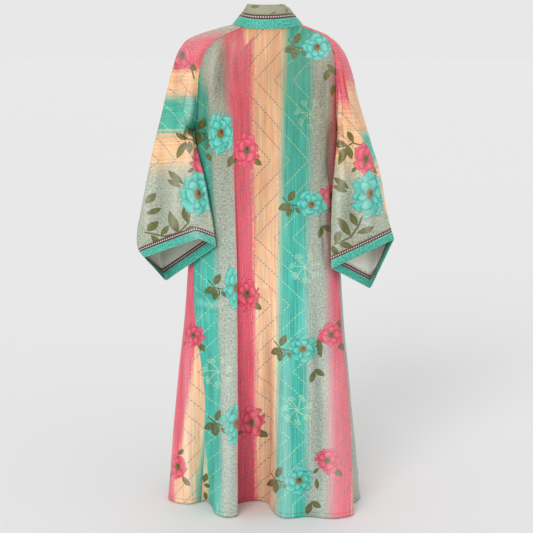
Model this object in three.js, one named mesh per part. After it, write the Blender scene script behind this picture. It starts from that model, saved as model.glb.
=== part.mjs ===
import * as THREE from 'three';

// A long kimono robe with raglan sleeves, an open front and a band round neck and fronts,
// filled out as worn. Millimetres. +Z is up, the back faces -Y and the wearer's right is +X.
// The origin is at the base of the neck, between the shoulders that carry the robe.
// Tables give a point as [out or x, behind, up]: "behind" is the distance towards the back.

// Cloth
const CLOTH_THICKNESS = 2;
// Space between two pieces at a seam, and where four of them meet at an armpit
const SEAM_GAP = 0.34;
const ARMPIT_GAP = 3;

// Widths of the sewn-on bands, the same at collar, fronts and cuffs
const COLLAR_BORDER_WIDTH = 25;
const COLLAR_TRIM_WIDTH = 11;
const COLLAR_BAND_WIDTH = 26;
const CUFF_TRIM_WIDTH = 11;
const CUFF_BORDER_WIDTH = 22;

// Heights of the body's sections below the arms
const LEVELS = { hem: -1275, knee: -990, hip: -700, waist: -480, armpit: -262 };
const LEVEL_NAMES = Object.keys(LEVELS);

// Rows and columns of the cloth's surface
const SKIRT_ROWS = 13;
const RAGLAN_ROWS = 8;
const UNDERARM_ROWS = 8;
const STEPS_PER_FOLD = 2;
const SLEEVE_STEPS = { left: { back: 9, front: 9 }, right: { back: 6, front: 9 } };
const COLUMN_CROWDING = 0.7;
const LAST_EASED_COLUMN = { left: { back: 6, front: 4 }, right: { back: 4, front: 4 } };

// Lines that run down the body, from the left front edge round the back to the right front edge.
// Each column is [x, behind] at that level. "across" is the place on the yoke, from seam to seam.
const LEFT_FRONT_LINES = [
  {
    name: 'front edge', hem: [-107, -158], knee: [-104, -140], hip: [-100, -122],
    waist: [-98, -112], armpit: [-98, -103],
  },
  {
    name: 'first crest', hem: [-150, -168], knee: [-146, -146], hip: [-134, -121],
    waist: [-128, -109], armpit: [-124, -99],
  },
  {
    name: 'first valley', hem: [-184, -128], knee: [-174, -116], hip: [-162, -104],
    waist: [-154, -94], armpit: [-148, -85],
  },
  {
    name: 'second crest', hem: [-222, -126], knee: [-202, -106], hip: [-186, -82],
    waist: [-175, -71], armpit: [-167, -64],
  },
  {
    name: 'second valley', hem: [-244, -72], knee: [-224, -62], hip: [-203, -46],
    waist: [-189, -42], armpit: [-180, -42],
  },
  { name: 'side', hem: [-269, 0], knee: [-243, 0], hip: [-211, 0], waist: [-196, -4], armpit: [-186, -16] },
  {
    name: 'side flute', hem: [-250, 30], knee: [-232, 28], hip: [-207, 20],
    waist: [-195, 12], armpit: [-187, -2],
  },
  {
    name: 'side crest', hem: [-205, 44], knee: [-198, 48], hip: [-198, 37],
    waist: [-192, 24], armpit: [-186, 9],
  },
];
const BACK_LINES = [
  {
    name: 'left seam', across: 0, hem: [-176, 26], knee: [-160, 58], hip: [-188, 50],
    waist: [-187, 34], armpit: [-184, 20],
  },
  {
    name: 'first valley', across: 0.07, hem: [-163, 25], knee: [-144, 68], hip: [-160, 74],
    waist: [-158, 66], armpit: [-152, 60],
  },
  {
    name: 'flute rise', across: 0.13, hem: [-147, 55], knee: [-134, 96], hip: [-138, 92],
    waist: [-136, 82], armpit: [-132, 74],
  },
  {
    name: 'flute left', across: 0.185, hem: [-130, 113], knee: [-119, 119], hip: [-114, 108],
    waist: [-113, 98], armpit: [-112, 86],
  },
  {
    name: 'flute crest', across: 0.225, hem: [-99, 133], knee: [-94, 128], hip: [-92, 116],
    waist: [-93, 107], armpit: [-97, 96],
  },
  {
    name: 'lap edge', across: 0.262, hem: [-74, 118], knee: [-72, 124], hip: [-72, 117],
    waist: [-75, 112], armpit: [-84, 101],
  },
  {
    name: 'under the lap', across: 0.295, hem: [-95, 90], knee: [-87, 103], hip: [-79, 106],
    waist: [-75, 104], armpit: [-74, 101],
  },
  {
    name: 'valley left', across: 0.34, hem: [-75, 44], knee: [-66, 80], hip: [-62, 100],
    waist: [-60, 104], armpit: [-60, 102],
  },
  {
    name: 'second valley', across: 0.42, hem: [-31, 22], knee: [-36, 72], hip: [-38, 99],
    waist: [-36, 106], armpit: [-36, 104],
  },
  {
    name: 'valley right', across: 0.5, hem: [2, 32], knee: [1, 78], hip: [-2, 101],
    waist: [-4, 107], armpit: [-4, 105],
  },
  {
    name: 'broad rise', across: 0.58, hem: [20, 88], knee: [26, 110], hip: [29, 110],
    waist: [28, 109], armpit: [30, 105],
  },
  {
    name: 'broad left', across: 0.66, hem: [46, 136], knee: [56, 128], hip: [63, 117],
    waist: [60, 110], armpit: [60, 103],
  },
  {
    name: 'broad dip', across: 0.745, hem: [113, 127], knee: [111, 119], hip: [109, 109],
    waist: [96, 106], armpit: [90, 99],
  },
  {
    name: 'broad right', across: 0.82, hem: [184, 139], knee: [174, 112], hip: [152, 92],
    waist: [130, 97], armpit: [112, 93],
  },
  {
    name: 'right fold', across: 0.88, hem: [233, 116], knee: [222, 58], hip: [184, 66],
    waist: [152, 82], armpit: [126, 86],
  },
  {
    name: 'recess', across: 0.94, hem: [236, 90], knee: [220, 46], hip: [192, 56],
    waist: [164, 54], armpit: [152, 58],
  },
  {
    name: 'right seam', across: 1, hem: [228, 62], knee: [216, 34], hip: [197, 42],
    waist: [185, 32], armpit: [185, 20],
  },
];
const RIGHT_FRONT_LINES = [
  {
    name: 'seam flute', hem: [246, 30], knee: [228, 18], hip: [202, 24],
    waist: [190, 14], armpit: [188, 4],
  },
  { name: 'side', hem: [261, 0], knee: [232, 0], hip: [203, 2], waist: [192, -4], armpit: [186, -14] },
  {
    name: 'second valley', hem: [258, -40], knee: [228, -34], hip: [201, -22],
    waist: [189, -22], armpit: [180, -26],
  },
  {
    name: 'second crest', hem: [236, -78], knee: [214, -66], hip: [194, -50],
    waist: [181, -46], armpit: [172, -46],
  },
  {
    name: 'front flute', hem: [220, -126], knee: [197, -104], hip: [180, -80],
    waist: [169, -72], armpit: [160, -68],
  },
  {
    name: 'first valley', hem: [184, -128], knee: [172, -116], hip: [158, -102],
    waist: [150, -94], armpit: [144, -85],
  },
  {
    name: 'first crest', hem: [150, -168], knee: [144, -146], hip: [132, -121],
    waist: [125, -109], armpit: [122, -99],
  },
  {
    name: 'front edge', hem: [107, -158], knee: [104, -140], hip: [100, -122],
    waist: [98, -112], armpit: [98, -103],
  },
];

// Front edges above the armpits, [out, behind, up], and the middle of the back, [behind, up], at the
// stations of the sleeves from neck to armpit
const FRONT_EDGE_TOP = [
  [82, -34, -12], [84, -46, -34], [88, -62, -66], [91, -78, -110], [94, -90, -162], [96, -98, -212],
  [97.5, -101, -240], [98, -103, LEVELS.armpit],
];
const BACK_MIDDLE = [
  [66, -8], [80, -36], [90, -68], [97, -112], [102, -160], [105, -205], [105.5, -236], [105, LEVELS.armpit],
];
// How squarely the yoke bows, and how far a front bows for each millimetre wider than its top edge
const YOKE_FULLNESS = 2.4;
const TOP_EDGE = 28;
const FRONT_FULLNESS = 0.14;
// How soon the folds fade above the armpits, and how many rows and columns are evened out there
const BACK_FADING = 2;
const FRONT_FADING = 5;
const EASING_TURNS = 4;
const EASED_ROWS = 3;
const EASED_FRONT_COLUMNS = 9;
// Limit to a wall's extra depth at a crease
const SHARPEST_SLANT = 0.5;

// Sleeve sections from neck to cuff. "over" is the over-arm seam. "back" and "front" are the raglan
// seams, and from the armpit down both are the under-arm seam. A fold is the middle of a half, as
// [share of the way from the over-arm seam, out, behind, down, form towards the over-arm seam, form
// towards the inner seam]. Form 0 is a low arch, 1 is round like a tube, and 2 is creased.
const LEFT_SLEEVE = [
  {
    name: 'neck', over: [80, 5, 5], back: [59, 45, -3], front: [86, -10, 2],
    backFold: [0.5, 2, 3, 0, 0, 0], frontFold: [0.5, 1, -2, 0, 0, 0],
  },
  {
    name: 'neck side', over: [118, 0, -5], back: [94, 55, -18], front: [104, -42, -34],
    backFold: [0.5, 0, 9, -3, 0, 0], frontFold: [0.5, 0, -8, -3, 0, 0],
  },
  {
    name: 'slope', over: [170, -2, -21], back: [136, 62, -45], front: [132, -60, -82],
    backFold: [0.5, 4, 14, -5, 0, 0], frontFold: [0.5, 6, -14, -6, 0, 0],
  },
  {
    name: 'shoulder', over: [212, -2, -44], back: [160, 65, -88], front: [154, -68, -130],
    backFold: [0.5, 6, 20, -3, 0, 0], frontFold: [0.5, 8, -22, -6, 0, 0],
  },
  {
    name: 'cap', over: [232, 0, -90], back: [170, 62, -148], front: [171, -58, -180],
    backFold: [0.5, 4, 24, 0, 0.1, 0.1], frontFold: [0.5, 8, -30, 0, 0.1, 0],
  },
  {
    name: 'upper arm', over: [247, 3, -140], back: [173, 56, -205], front: [183, -34, -228],
    backFold: [0.5, 2, 27, 0, 0.25, 0.25], frontFold: [0.5, 6, -42, 0, 0.25, 0],
  },
  {
    name: 'under arm', over: [262, 7, -200], back: [178, 38, -238], front: [187, -4, -254],
    backFold: [0.5, 0, 29, 0, 0.4, 0.4], frontFold: [0.48, 2, -54, 0, 0.4, 0.9],
  },
  {
    name: 'armpit', over: [271, 10, -236], back: [184, 20, -262], front: [184, 20, -262],
    backFold: [0.5, 0, 30, 0, 0.5, 0.5], frontFold: [0.48, 4, -62, 0, 0.5, 2],
  },
  {
    name: 'arm', over: [285, 16, -290], back: [173, 52, -312], front: [173, 52, -312],
    backFold: [0.5, 0, 28, 0, 0.6, 0.6], frontFold: [0.42, 6, -66, 0, 0.6, 2],
  },
  {
    name: 'elbow', over: [301, 24, -362], back: [155, 80, -375], front: [155, 80, -375],
    backFold: [0.55, 0, 26, 0, 0.8, 0.8], frontFold: [0.38, 6, -68, 6, 0.8, 2],
  },
  {
    name: 'forearm', over: [318, 34, -445], back: [142, 95, -440], front: [142, 95, -440],
    backFold: [0.62, 0, 26, -4, 1.1, 1.1], frontFold: [0.34, 6, -70, 24, 1.1, 2],
  },
  {
    name: 'corner', over: [336, 46, -548], back: [131, 104, -505], front: [131, 104, -505],
    backFold: [0.72, 0, 26, -18, 1.7, 1.7], frontFold: [0.3, 4, -72, 60, 1.7, 2],
  },
  {
    name: 'cuff', over: [312, 76, -584], back: [126, 108, -549], front: [126, 108, -549],
    backFold: [0.78, 0, 26, -31, 2, 2], frontFold: [0.28, 4, -74, 86, 2, 2],
  },
];
const RIGHT_SLEEVE = [
  {
    name: 'neck', over: [94, 3, 3], back: [86, 21, 1], front: [86, -10, 2],
    backFold: [0.5, 0, 0, 0, 0, 0], frontFold: [0.5, 3, -2, 0, 0, 0],
  },
  {
    name: 'neck side', over: [124, 5, -9], back: [119, 24, -12], front: [104, -42, -34],
    backFold: [0.5, 0, 0, 0, 0, 0], frontFold: [0.45, 3, -8, -6, 0, 0],
  },
  {
    name: 'slope', over: [164, 13, -29], back: [156, 32, -32], front: [132, -60, -82],
    backFold: [0.5, 0, 0, 0, 0, 0], frontFold: [0.4, 14, -18, -14, 0, 0],
  },
  {
    name: 'shoulder', over: [187, 31, -71], back: [174, 46, -72], front: [154, -68, -130],
    backFold: [0.5, 0, 0, 0, 0, 0], frontFold: [0.35, 30, -22, -16, 0, 0],
  },
  {
    name: 'cap', over: [199, 52, -127], back: [178, 50, -114], front: [171, -58, -180],
    backFold: [0.5, 0, 6, 0, 0.1, 0.1], frontFold: [0.35, 38, -34, -6, 0.1, 0],
  },
  {
    name: 'upper arm', over: [213, 62, -190], back: [178, 48, -168], front: [183, -34, -228],
    backFold: [0.5, 0, 10, 0, 0.25, 0.25], frontFold: [0.35, 38, -50, -2, 0.25, 0],
  },
  {
    name: 'under arm', over: [226, 65, -236], back: [181, 36, -224], front: [188, -4, -254],
    backFold: [0.5, 0, 14, 0, 0.4, 0.4], frontFold: [0.35, 38, -64, 0, 0.4, 0.4],
  },
  {
    name: 'armpit', over: [238, 66, -262], back: [185, 20, -262], front: [185, 20, -262],
    backFold: [0.5, 0, 16, 0, 0.5, 0.5], frontFold: [0.34, 38, -84, 0, 0.5, 1],
  },
  {
    name: 'arm', over: [254, 66, -300], back: [180, 50, -312], front: [180, 50, -312],
    backFold: [0.5, 0, 16, 0, 0.6, 0.6], frontFold: [0.32, 36, -92, 0, 0.6, 1.6],
  },
  {
    name: 'elbow', over: [275, 66, -352], back: [173, 73, -380], front: [173, 73, -380],
    backFold: [0.5, 0, 16, 0, 0.8, 0.8], frontFold: [0.3, 34, -94, 0, 0.8, 2],
  },
  {
    name: 'forearm', over: [298, 64, -436], back: [168, 87, -455], front: [168, 87, -455],
    backFold: [0.5, 0, 14, 0, 1.1, 1.1], frontFold: [0.3, 30, -92, 10, 1.1, 2],
  },
  {
    name: 'corner', over: [320, 58, -500], back: [167, 95, -540], front: [167, 95, -540],
    backFold: [0.5, 0, 10, 0, 1, 1], frontFold: [0.32, 28, -84, 44, 1.6, 2],
  },
  {
    name: 'cuff', over: [333, 52, -541], back: [169, 100, -608], front: [169, 100, -608],
    backFold: [0.5, 0, 6, 0, 1, 1], frontFold: [0.42, 14, -62, 112, 2, 2],
  },
];
const ARMPIT_STATION = LEFT_SLEEVE.findIndex((row) => row.name === 'armpit');

// Which way the collar's bands stand off their seam, [in towards the middle, behind, up], by the
// height of the seam on the fronts, and at the side and the middle of the neck
const FRONT_LEAN = [
  { up: -1275, lean: [1, -0.12, 0] },
  { up: -212, lean: [1, -0.1, 0.02] },
  { up: -110, lean: [1, -0.3, 0.25] },
  { up: -34, lean: [0.9, -0.4, 0.62] },
  { up: -12, lean: [0.78, -0.28, 0.75] },
];
const NECK_SIDE_LEAN = [0.66, -0.1, 0.8];
const NECK_BACK_LEAN = [0, -0.26, 0.96];
const NECK_DEPTH = 66;
const NECK_HALF_WIDTH = 80;

const COLOURS = { print: 0xb9a58c, border: 0x3cc3af, trim: 0x5a2a32, band: 0x8f9270 };

// Helpers

function toPoint([x, behind, up], side = 1) {
  return new THREE.Vector3(side * x, -behind, up);
}

// A smooth curve through a column of numbers that never overshoots them
function smoothValue(places, values, place) {
  const last = places.length - 1;
  let i = 0;
  while (i < last - 1 && place > places[i + 1]) i += 1;
  const slope = (k) => (values[k + 1] - values[k]) / (places[k + 1] - places[k]);
  const tangent = (k) => {
    if (k === 0) return slope(0);
    if (k === last) return slope(last - 1);
    const before = slope(k - 1);
    const after = slope(k);
    return before * after <= 0 ? 0 : (2 * before * after) / (before + after);
  };
  const span = places[i + 1] - places[i];
  const t = THREE.MathUtils.clamp((place - places[i]) / span, 0, 1);
  const start = values[i] * (2 * t ** 3 - 3 * t ** 2 + 1) + tangent(i) * span * (t ** 3 - 2 * t ** 2 + t);
  const end = values[i + 1] * (3 * t ** 2 - 2 * t ** 3) + tangent(i + 1) * span * (t ** 3 - t ** 2);
  return start + end;
}

function smoothRow(places, rows, place) {
  return rows[0].map((_, column) => smoothValue(places, rows.map((row) => row[column]), place));
}

function spread(count, from, to) {
  return Array.from({ length: count + 1 }, (_, i) => THREE.MathUtils.lerp(from, to, i / count));
}

function throughPoints(points, steps) {
  const curve = new THREE.CatmullRomCurve3(points, false, 'centripetal');
  return spread((points.length - 1) * steps, 0, 1).map((t) => curve.getPoint(t));
}

// Even out the rows on both sides of a row, in the columns from one to another
function easeRows(grid, middleRow, from, to) {
  for (let turn = 0; turn < EASING_TURNS; turn += 1) {
    for (let r = middleRow - EASED_ROWS; r <= middleRow + EASED_ROWS; r += 1) {
      for (let c = from; c <= to; c += 1) {
        const before = grid[r][c].distanceTo(grid[r - 1][c]);
        const after = grid[r][c].distanceTo(grid[r + 1][c]);
        const straight = grid[r - 1][c].clone().lerp(grid[r + 1][c], before / (before + after));
        grid[r][c] = grid[r][c].clone().lerp(straight, 0.5);
      }
    }
  }
  return grid;
}

// Body below the armpits: one curve round the whole body at each height

const bodyLines = [...LEFT_FRONT_LINES, ...BACK_LINES, ...RIGHT_FRONT_LINES];
const levelHeights = LEVEL_NAMES.map((name) => LEVELS[name]);

function linePoint(line, height) {
  const [x, behind] = smoothRow(levelHeights, LEVEL_NAMES.map((name) => line[name]), height);
  return toPoint([x, behind, height]);
}

const skirtRows = spread(SKIRT_ROWS, LEVELS.hem, LEVELS.armpit).map((height) =>
  throughPoints(bodyLines.map((line) => linePoint(line, height)), STEPS_PER_FOLD));

const leftSeamColumn = LEFT_FRONT_LINES.length * STEPS_PER_FOLD;
const rightSeamColumn = leftSeamColumn + (BACK_LINES.length - 1) * STEPS_PER_FOLD;

// Sleeves

function sleeveSection(rows, station) {
  const places = rows.map((_, index) => index);
  const section = {};
  for (const column of ['over', 'back', 'front', 'backFold', 'frontFold']) {
    section[column] = smoothRow(places, rows.map((row) => row[column]), station);
  }
  if (station >= ARMPIT_STATION) section.front = section.back;
  return section;
}

// Height of the fold over the straight line across a half
function foldShape(across, middle, overForm, innerForm) {
  const outer = across < middle;
  const away = outer ? (middle - across) / middle : (across - middle) / (1 - middle);
  const form = outer ? overForm : innerForm;
  const arch = 1 - away ** 2;
  const round = Math.sqrt(Math.max(0, arch));
  const crease = 1 - away;
  if (form < 1) return THREE.MathUtils.lerp(arch, round, form);
  return THREE.MathUtils.lerp(round, crease, form - 1);
}

function sleevePoint(section, half, across, side) {
  const inner = section[half];
  const [middle, out, behind, down, overForm, innerForm] = section[`${half}Fold`];
  const height = foldShape(across, middle, overForm, innerForm);
  const push = [out, behind, -down];
  const place = inner.map((value, i) => {
    const straight = THREE.MathUtils.lerp(section.over[i], value, across);
    return straight + height * push[i];
  });
  return toPoint(place, side);
}

// Columns crowd towards both seams, where a round half turns fastest
function sleeveShares(steps) {
  return spread(steps, 0, 1).map((t) => {
    const crowded = (1 - Math.cos(Math.PI * t)) / 2;
    return THREE.MathUtils.lerp(t, crowded, COLUMN_CROWDING);
  });
}

function sleeveStations() {
  const raglan = spread(RAGLAN_ROWS, 0, ARMPIT_STATION);
  const arm = spread(UNDERARM_ROWS, ARMPIT_STATION, LEFT_SLEEVE.length - 1).slice(1);
  return [...raglan, ...arm];
}

function sleeveHalf(name, rows, half, side) {
  const shares = sleeveShares(SLEEVE_STEPS[name][half]);
  const grid = sleeveStations().map((station) => {
    const section = sleeveSection(rows, station);
    return shares.map((across) => sleevePoint(section, half, across, side));
  });
  return easeRows(grid, RAGLAN_ROWS, 2, LAST_EASED_COLUMN[name][half]);
}

// Cut a sleeve's columns at a distance from the cuff's edge, measured along the cloth
function pointFromCuff(grid, column, distance) {
  let left = distance;
  for (let row = grid.length - 1; row > 0; row -= 1) {
    const here = grid[row][column];
    const next = grid[row - 1][column];
    const step = here.distanceTo(next);
    if (step >= left) return here.clone().lerp(next, left / step);
    left -= step;
  }
  return grid[0][column].clone();
}

function cuffRow(grid, distance) {
  return grid[0].map((_, column) => pointFromCuff(grid, column, distance));
}

function trimToCuff(grid, distance) {
  const edge = cuffRow(grid, distance);
  const kept = grid.slice(0, -2);
  return [...kept, kept.at(-1).map((point, column) => point.clone().lerp(edge[column], 0.5)), edge];
}

// Body above the armpits: from the raglan seams to the middle of the back or the front edge

const raglanStations = spread(RAGLAN_ROWS, 0, ARMPIT_STATION).reverse();

function stationRow(table, station) {
  return smoothRow(table.map((_, index) => index), table, station);
}

// A row of the yoke bows out from seam to seam
function backArch(station) {
  const left = toPoint(sleeveSection(LEFT_SLEEVE, station).back, -1);
  const right = toPoint(sleeveSection(RIGHT_SLEEVE, station).back, 1);
  const centre = left.clone().lerp(right, 0.5);
  const [behind, up] = stationRow(BACK_MIDDLE, station);
  return BACK_LINES.map(({ across }) => {
    const point = left.clone().lerp(right, across);
    const bulge = 1 - Math.abs(2 * across - 1) ** YOKE_FULLNESS;
    point.y += (-behind - centre.y) * bulge;
    point.z += (up - centre.z) * bulge;
    return point;
  });
}

// A row of a front's top runs from the front edge to the raglan seam
function frontArch(station, sleeveRows, lines, side) {
  const seam = toPoint(sleeveSection(sleeveRows, station).front, side);
  const edge = toPoint(stationRow(FRONT_EDGE_TOP, station), side);
  const fullness = Math.max(0, edge.distanceTo(seam) - TOP_EDGE) * FRONT_FULLNESS;
  const row = lines.map((_, index) => {
    const across = index / (lines.length - 1);
    const point = edge.clone().lerp(seam, across);
    point.y += fullness * Math.sin(Math.PI * across);
    return point;
  });
  return side < 0 ? row : row.reverse();
}

// The folds of the body below die away over the rows above it
function upperRows(arch, lines, fading) {
  const archAtArmpit = arch(ARMPIT_STATION);
  return raglanStations.map((station) => {
    const share = (station / ARMPIT_STATION) ** fading;
    const row = arch(station).map((point, index) => {
      const fold = linePoint(lines[index], LEVELS.armpit).sub(archAtArmpit[index]);
      return point.addScaledVector(fold, share);
    });
    return throughPoints(row, STEPS_PER_FOLD);
  });
}

// Walls

// The directions in which the cells round each grid point face
function facingsAround(grid, closed) {
  const columns = grid[0].length;
  const around = grid.map((row) => row.map(() => []));
  for (let r = 0; r < grid.length - 1; r += 1) {
    for (let c = 0; c < (closed ? columns : columns - 1); c += 1) {
      const next = (c + 1) % columns;
      const rising = grid[r + 1][next].clone().sub(grid[r][c]);
      const falling = grid[r + 1][c].clone().sub(grid[r][next]);
      const facing = rising.cross(falling).normalize();
      around[r][c].push(facing);
      around[r][next].push(facing);
      around[r + 1][c].push(facing);
      around[r + 1][next].push(facing);
    }
  }
  return around;
}

// From a point of the outside to the inside, longer at a crease so that the wall keeps its thickness
function thicknessAt(facings) {
  const normal = facings.reduce((total, facing) => total.add(facing), new THREE.Vector3()).normalize();
  const slant = Math.min(...facings.map((facing) => facing.dot(normal)));
  return normal.multiplyScalar(-CLOTH_THICKNESS / Math.max(slant, SHARPEST_SLANT));
}

// Every piece's grid runs so that columns x rows points out of the cloth
const pieces = [];

function addPiece(name, colour, grid, closed = false) {
  pieces.push({ name, colour, grid, closed, facings: facingsAround(grid, closed) });
}

function edgeCells(piece) {
  const rows = piece.grid.length;
  const columns = piece.grid[0].length;
  const cells = [];
  for (let r = 0; r < rows; r += 1) {
    for (let c = 0; c < columns; c += 1) {
      const rowEnd = r === 0 || r === rows - 1;
      const columnEnd = !piece.closed && (c === 0 || c === columns - 1);
      if (rowEnd || columnEnd) cells.push([r, c]);
    }
  }
  return cells;
}

// Pieces that meet at a seam lean their cut edges the same way, so that no wall enters the next
function shareSeams() {
  const groups = new Map();
  for (const piece of pieces) {
    for (const [r, c] of edgeCells(piece)) {
      const key = piece.grid[r][c].toArray().map((value) => value.toFixed(2)).join(' ');
      if (!groups.has(key)) groups.set(key, []);
      groups.get(key).push([piece, r, c]);
    }
  }
  for (const group of groups.values()) {
    const all = group.flatMap(([piece, r, c]) => piece.facings[r][c]);
    for (const [piece, r, c] of group) piece.facings[r][c] = all;
  }
  for (const piece of pieces) piece.inwards = piece.facings.map((row) => row.map(thicknessAt));
}

const armpits = [toPoint(LEFT_SLEEVE[ARMPIT_STATION].back, -1), toPoint(RIGHT_SLEEVE[ARMPIT_STATION].back)];

// Draw each cut edge back by half the seam gap, and further where four pieces meet at an armpit
function openSeams(piece) {
  const { grid, closed } = piece;
  const rows = grid.length;
  const columns = grid[0].length;
  const moved = grid.map((row) => row.map((point) => point.clone()));
  const shift = (r, c, towards, along) => {
    const tangent = along.normalize();
    const inward = towards.clone().sub(grid[r][c]);
    const normal = piece.inwards[r][c].clone().normalize();
    inward.addScaledVector(tangent, -inward.dot(tangent)).addScaledVector(normal, -inward.dot(normal));
    const gap = armpits.some((armpit) => armpit.distanceTo(grid[r][c]) < 0.01) ? ARMPIT_GAP : SEAM_GAP;
    moved[r][c].addScaledVector(inward.normalize(), gap / 2);
  };
  for (let c = 0; c < columns; c += 1) {
    const left = closed ? (c + columns - 1) % columns : Math.max(0, c - 1);
    const right = closed ? (c + 1) % columns : Math.min(columns - 1, c + 1);
    shift(0, c, grid[1][c], grid[0][right].clone().sub(grid[0][left]));
    shift(rows - 1, c, grid[rows - 2][c], grid[rows - 1][right].clone().sub(grid[rows - 1][left]));
  }
  if (!closed) {
    for (let r = 0; r < rows; r += 1) {
      const below = Math.max(0, r - 1);
      const above = Math.min(rows - 1, r + 1);
      const last = columns - 1;
      shift(r, 0, grid[r][1], grid[above][0].clone().sub(grid[below][0]));
      shift(r, last, grid[r][last - 1], grid[above][last].clone().sub(grid[below][last]));
    }
  }
  return moved;
}

// Whether a seam point counts as the lower of two, by height and then by x
function isBelow(a, b) {
  const height = a.z - b.z;
  return Math.abs(height) > 0.01 ? height < 0 : a.x < b.x;
}

function wallMesh(piece) {
  const { closed, inwards } = piece;
  const outer = openSeams(piece);
  const rows = outer.length;
  const columns = outer[0].length;
  const positions = [];
  const index = [];
  const inside = rows * columns;
  outer.flat().forEach((point) => positions.push(...point.toArray()));
  outer.forEach((row, r) => row.forEach((point, c) => {
    positions.push(...point.clone().add(inwards[r][c]).toArray());
  }));
  const at = (r, c) => r * columns + (c % columns);
  const quad = (a, b, c, d) => index.push(a, b, c, a, c, d);
  const cellColumns = closed ? columns : columns - 1;
  for (let r = 0; r < rows - 1; r += 1) {
    for (let c = 0; c < cellColumns; c += 1) {
      quad(at(r, c), at(r, c + 1), at(r + 1, c + 1), at(r + 1, c));
      quad(inside + at(r, c), inside + at(r + 1, c), inside + at(r + 1, c + 1), inside + at(r, c + 1));
    }
  }
  // A cut edge is split from its lower outer corner, so that both sides of a seam split alike
  const uncut = piece.grid.flat();
  const cutFace = (from, to) => {
    if (isBelow(uncut[from], uncut[to])) {
      quad(from, inside + from, inside + to, to);
    } else {
      quad(inside + from, inside + to, to, from);
    }
  };
  for (let c = 0; c < cellColumns; c += 1) {
    cutFace(at(0, c), at(0, c + 1));
    cutFace(at(rows - 1, c + 1), at(rows - 1, c));
  }
  if (!closed) {
    for (let r = 0; r < rows - 1; r += 1) {
      cutFace(at(r + 1, 0), at(r, 0));
      cutFace(at(r, columns - 1), at(r + 1, columns - 1));
    }
  }
  const geometry = new THREE.BufferGeometry();
  geometry.setAttribute('position', new THREE.Float32BufferAttribute(positions, 3));
  geometry.setIndex(index);
  geometry.computeVertexNormals();
  const material = new THREE.MeshStandardMaterial({ color: piece.colour, roughness: 0.75, metalness: 0 });
  const mesh = new THREE.Mesh(geometry, material);
  mesh.name = piece.name;
  return mesh;
}

// Back and fronts

// Skirt rows and yoke rows in one grid, eased where they meet, but not near a front's seam
function bodyPanel(from, to, top, easedFrom, easedTo) {
  const grid = [...skirtRows.slice(0, -1).map((row) => row.slice(from, to + 1)), ...top];
  return easeRows(grid, SKIRT_ROWS, easedFrom, easedTo);
}

const leftLines = [...LEFT_FRONT_LINES, BACK_LINES[0]];
const rightLines = [BACK_LINES.at(-1), ...RIGHT_FRONT_LINES];
const lastColumn = skirtRows[0].length - 1;
const leftArch = (station) => frontArch(station, LEFT_SLEEVE, leftLines, -1);
const rightArch = (station) => frontArch(station, RIGHT_SLEEVE, rightLines, 1);
const backTop = upperRows(backArch, BACK_LINES, BACK_FADING);
const leftTop = upperRows(leftArch, leftLines, FRONT_FADING);
const rightTop = upperRows(rightArch, rightLines, FRONT_FADING);
const backColumns = backTop[0].length;
const frontColumns = rightTop[0].length;
const backGrid = bodyPanel(leftSeamColumn, rightSeamColumn, backTop, 2, backColumns - 3);
const leftFrontGrid = bodyPanel(0, leftSeamColumn, leftTop, 1, EASED_FRONT_COLUMNS);
const rightFrontGrid = bodyPanel(rightSeamColumn, lastColumn, rightTop,
  frontColumns - 1 - EASED_FRONT_COLUMNS, frontColumns - 2);
addPiece('back_panel', COLOURS.print, backGrid);
addPiece('left_front', COLOURS.print, leftFrontGrid);
addPiece('right_front', COLOURS.print, rightFrontGrid);

// Sleeves and cuffs

const flipColumns = (grid) => grid.map((row) => [...row].reverse());

// Both halves of a sleeve and the two bands round its cuff
function addSleeve(name, rows, side) {
  const back = sleeveHalf(name, rows, 'back', side);
  const front = sleeveHalf(name, rows, 'front', side);
  const cuffDepth = CUFF_TRIM_WIDTH + CUFF_BORDER_WIDTH;
  const backCloth = trimToCuff(back, cuffDepth);
  const frontCloth = trimToCuff(front, cuffDepth);
  const outwards = (grid, turn) => (turn ? flipColumns(grid) : grid);
  addPiece(`${name}_sleeve_back`, COLOURS.print, outwards(backCloth, side < 0));
  addPiece(`${name}_sleeve_front`, COLOURS.print, outwards(frontCloth, side > 0));
  const ring = (distance) => {
    const backRow = cuffRow(back, distance);
    const frontRow = cuffRow(front, distance).reverse().slice(1, -1);
    return [...backRow, ...frontRow];
  };
  const closedRing = (from, to) => outwards([ring(from), ring(to)], side < 0);
  addPiece(`${name}_cuff_trim`, COLOURS.trim, closedRing(cuffDepth, CUFF_BORDER_WIDTH), true);
  addPiece(`${name}_cuff_border`, COLOURS.border, closedRing(CUFF_BORDER_WIDTH, 0), true);
  return { back, front };
}

const leftSleeve = addSleeve('left', LEFT_SLEEVE, -1);
const rightSleeve = addSleeve('right', RIGHT_SLEEVE, 1);

// Collar and front bands: one long strip along the front edges and the neck

function leanAt(point, onFront) {
  const side = Math.sign(point.x) || 1;
  if (onFront) {
    const heights = FRONT_LEAN.map((row) => row.up);
    const [inward, behind, up] = smoothRow(heights, FRONT_LEAN.map((row) => row.lean), point.z);
    return toPoint([-side * inward, behind, up]).normalize();
  }
  const share = THREE.MathUtils.clamp(-point.y / NECK_DEPTH, 0, 1) ** 1.5;
  const width = Math.abs(point.x) / NECK_HALF_WIDTH;
  const lean = NECK_SIDE_LEAN.map((value, i) => THREE.MathUtils.lerp(value, NECK_BACK_LEAN[i], share));
  return toPoint([-side * lean[0] * Math.min(1, width), lean[1], lean[2]]).normalize();
}

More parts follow.
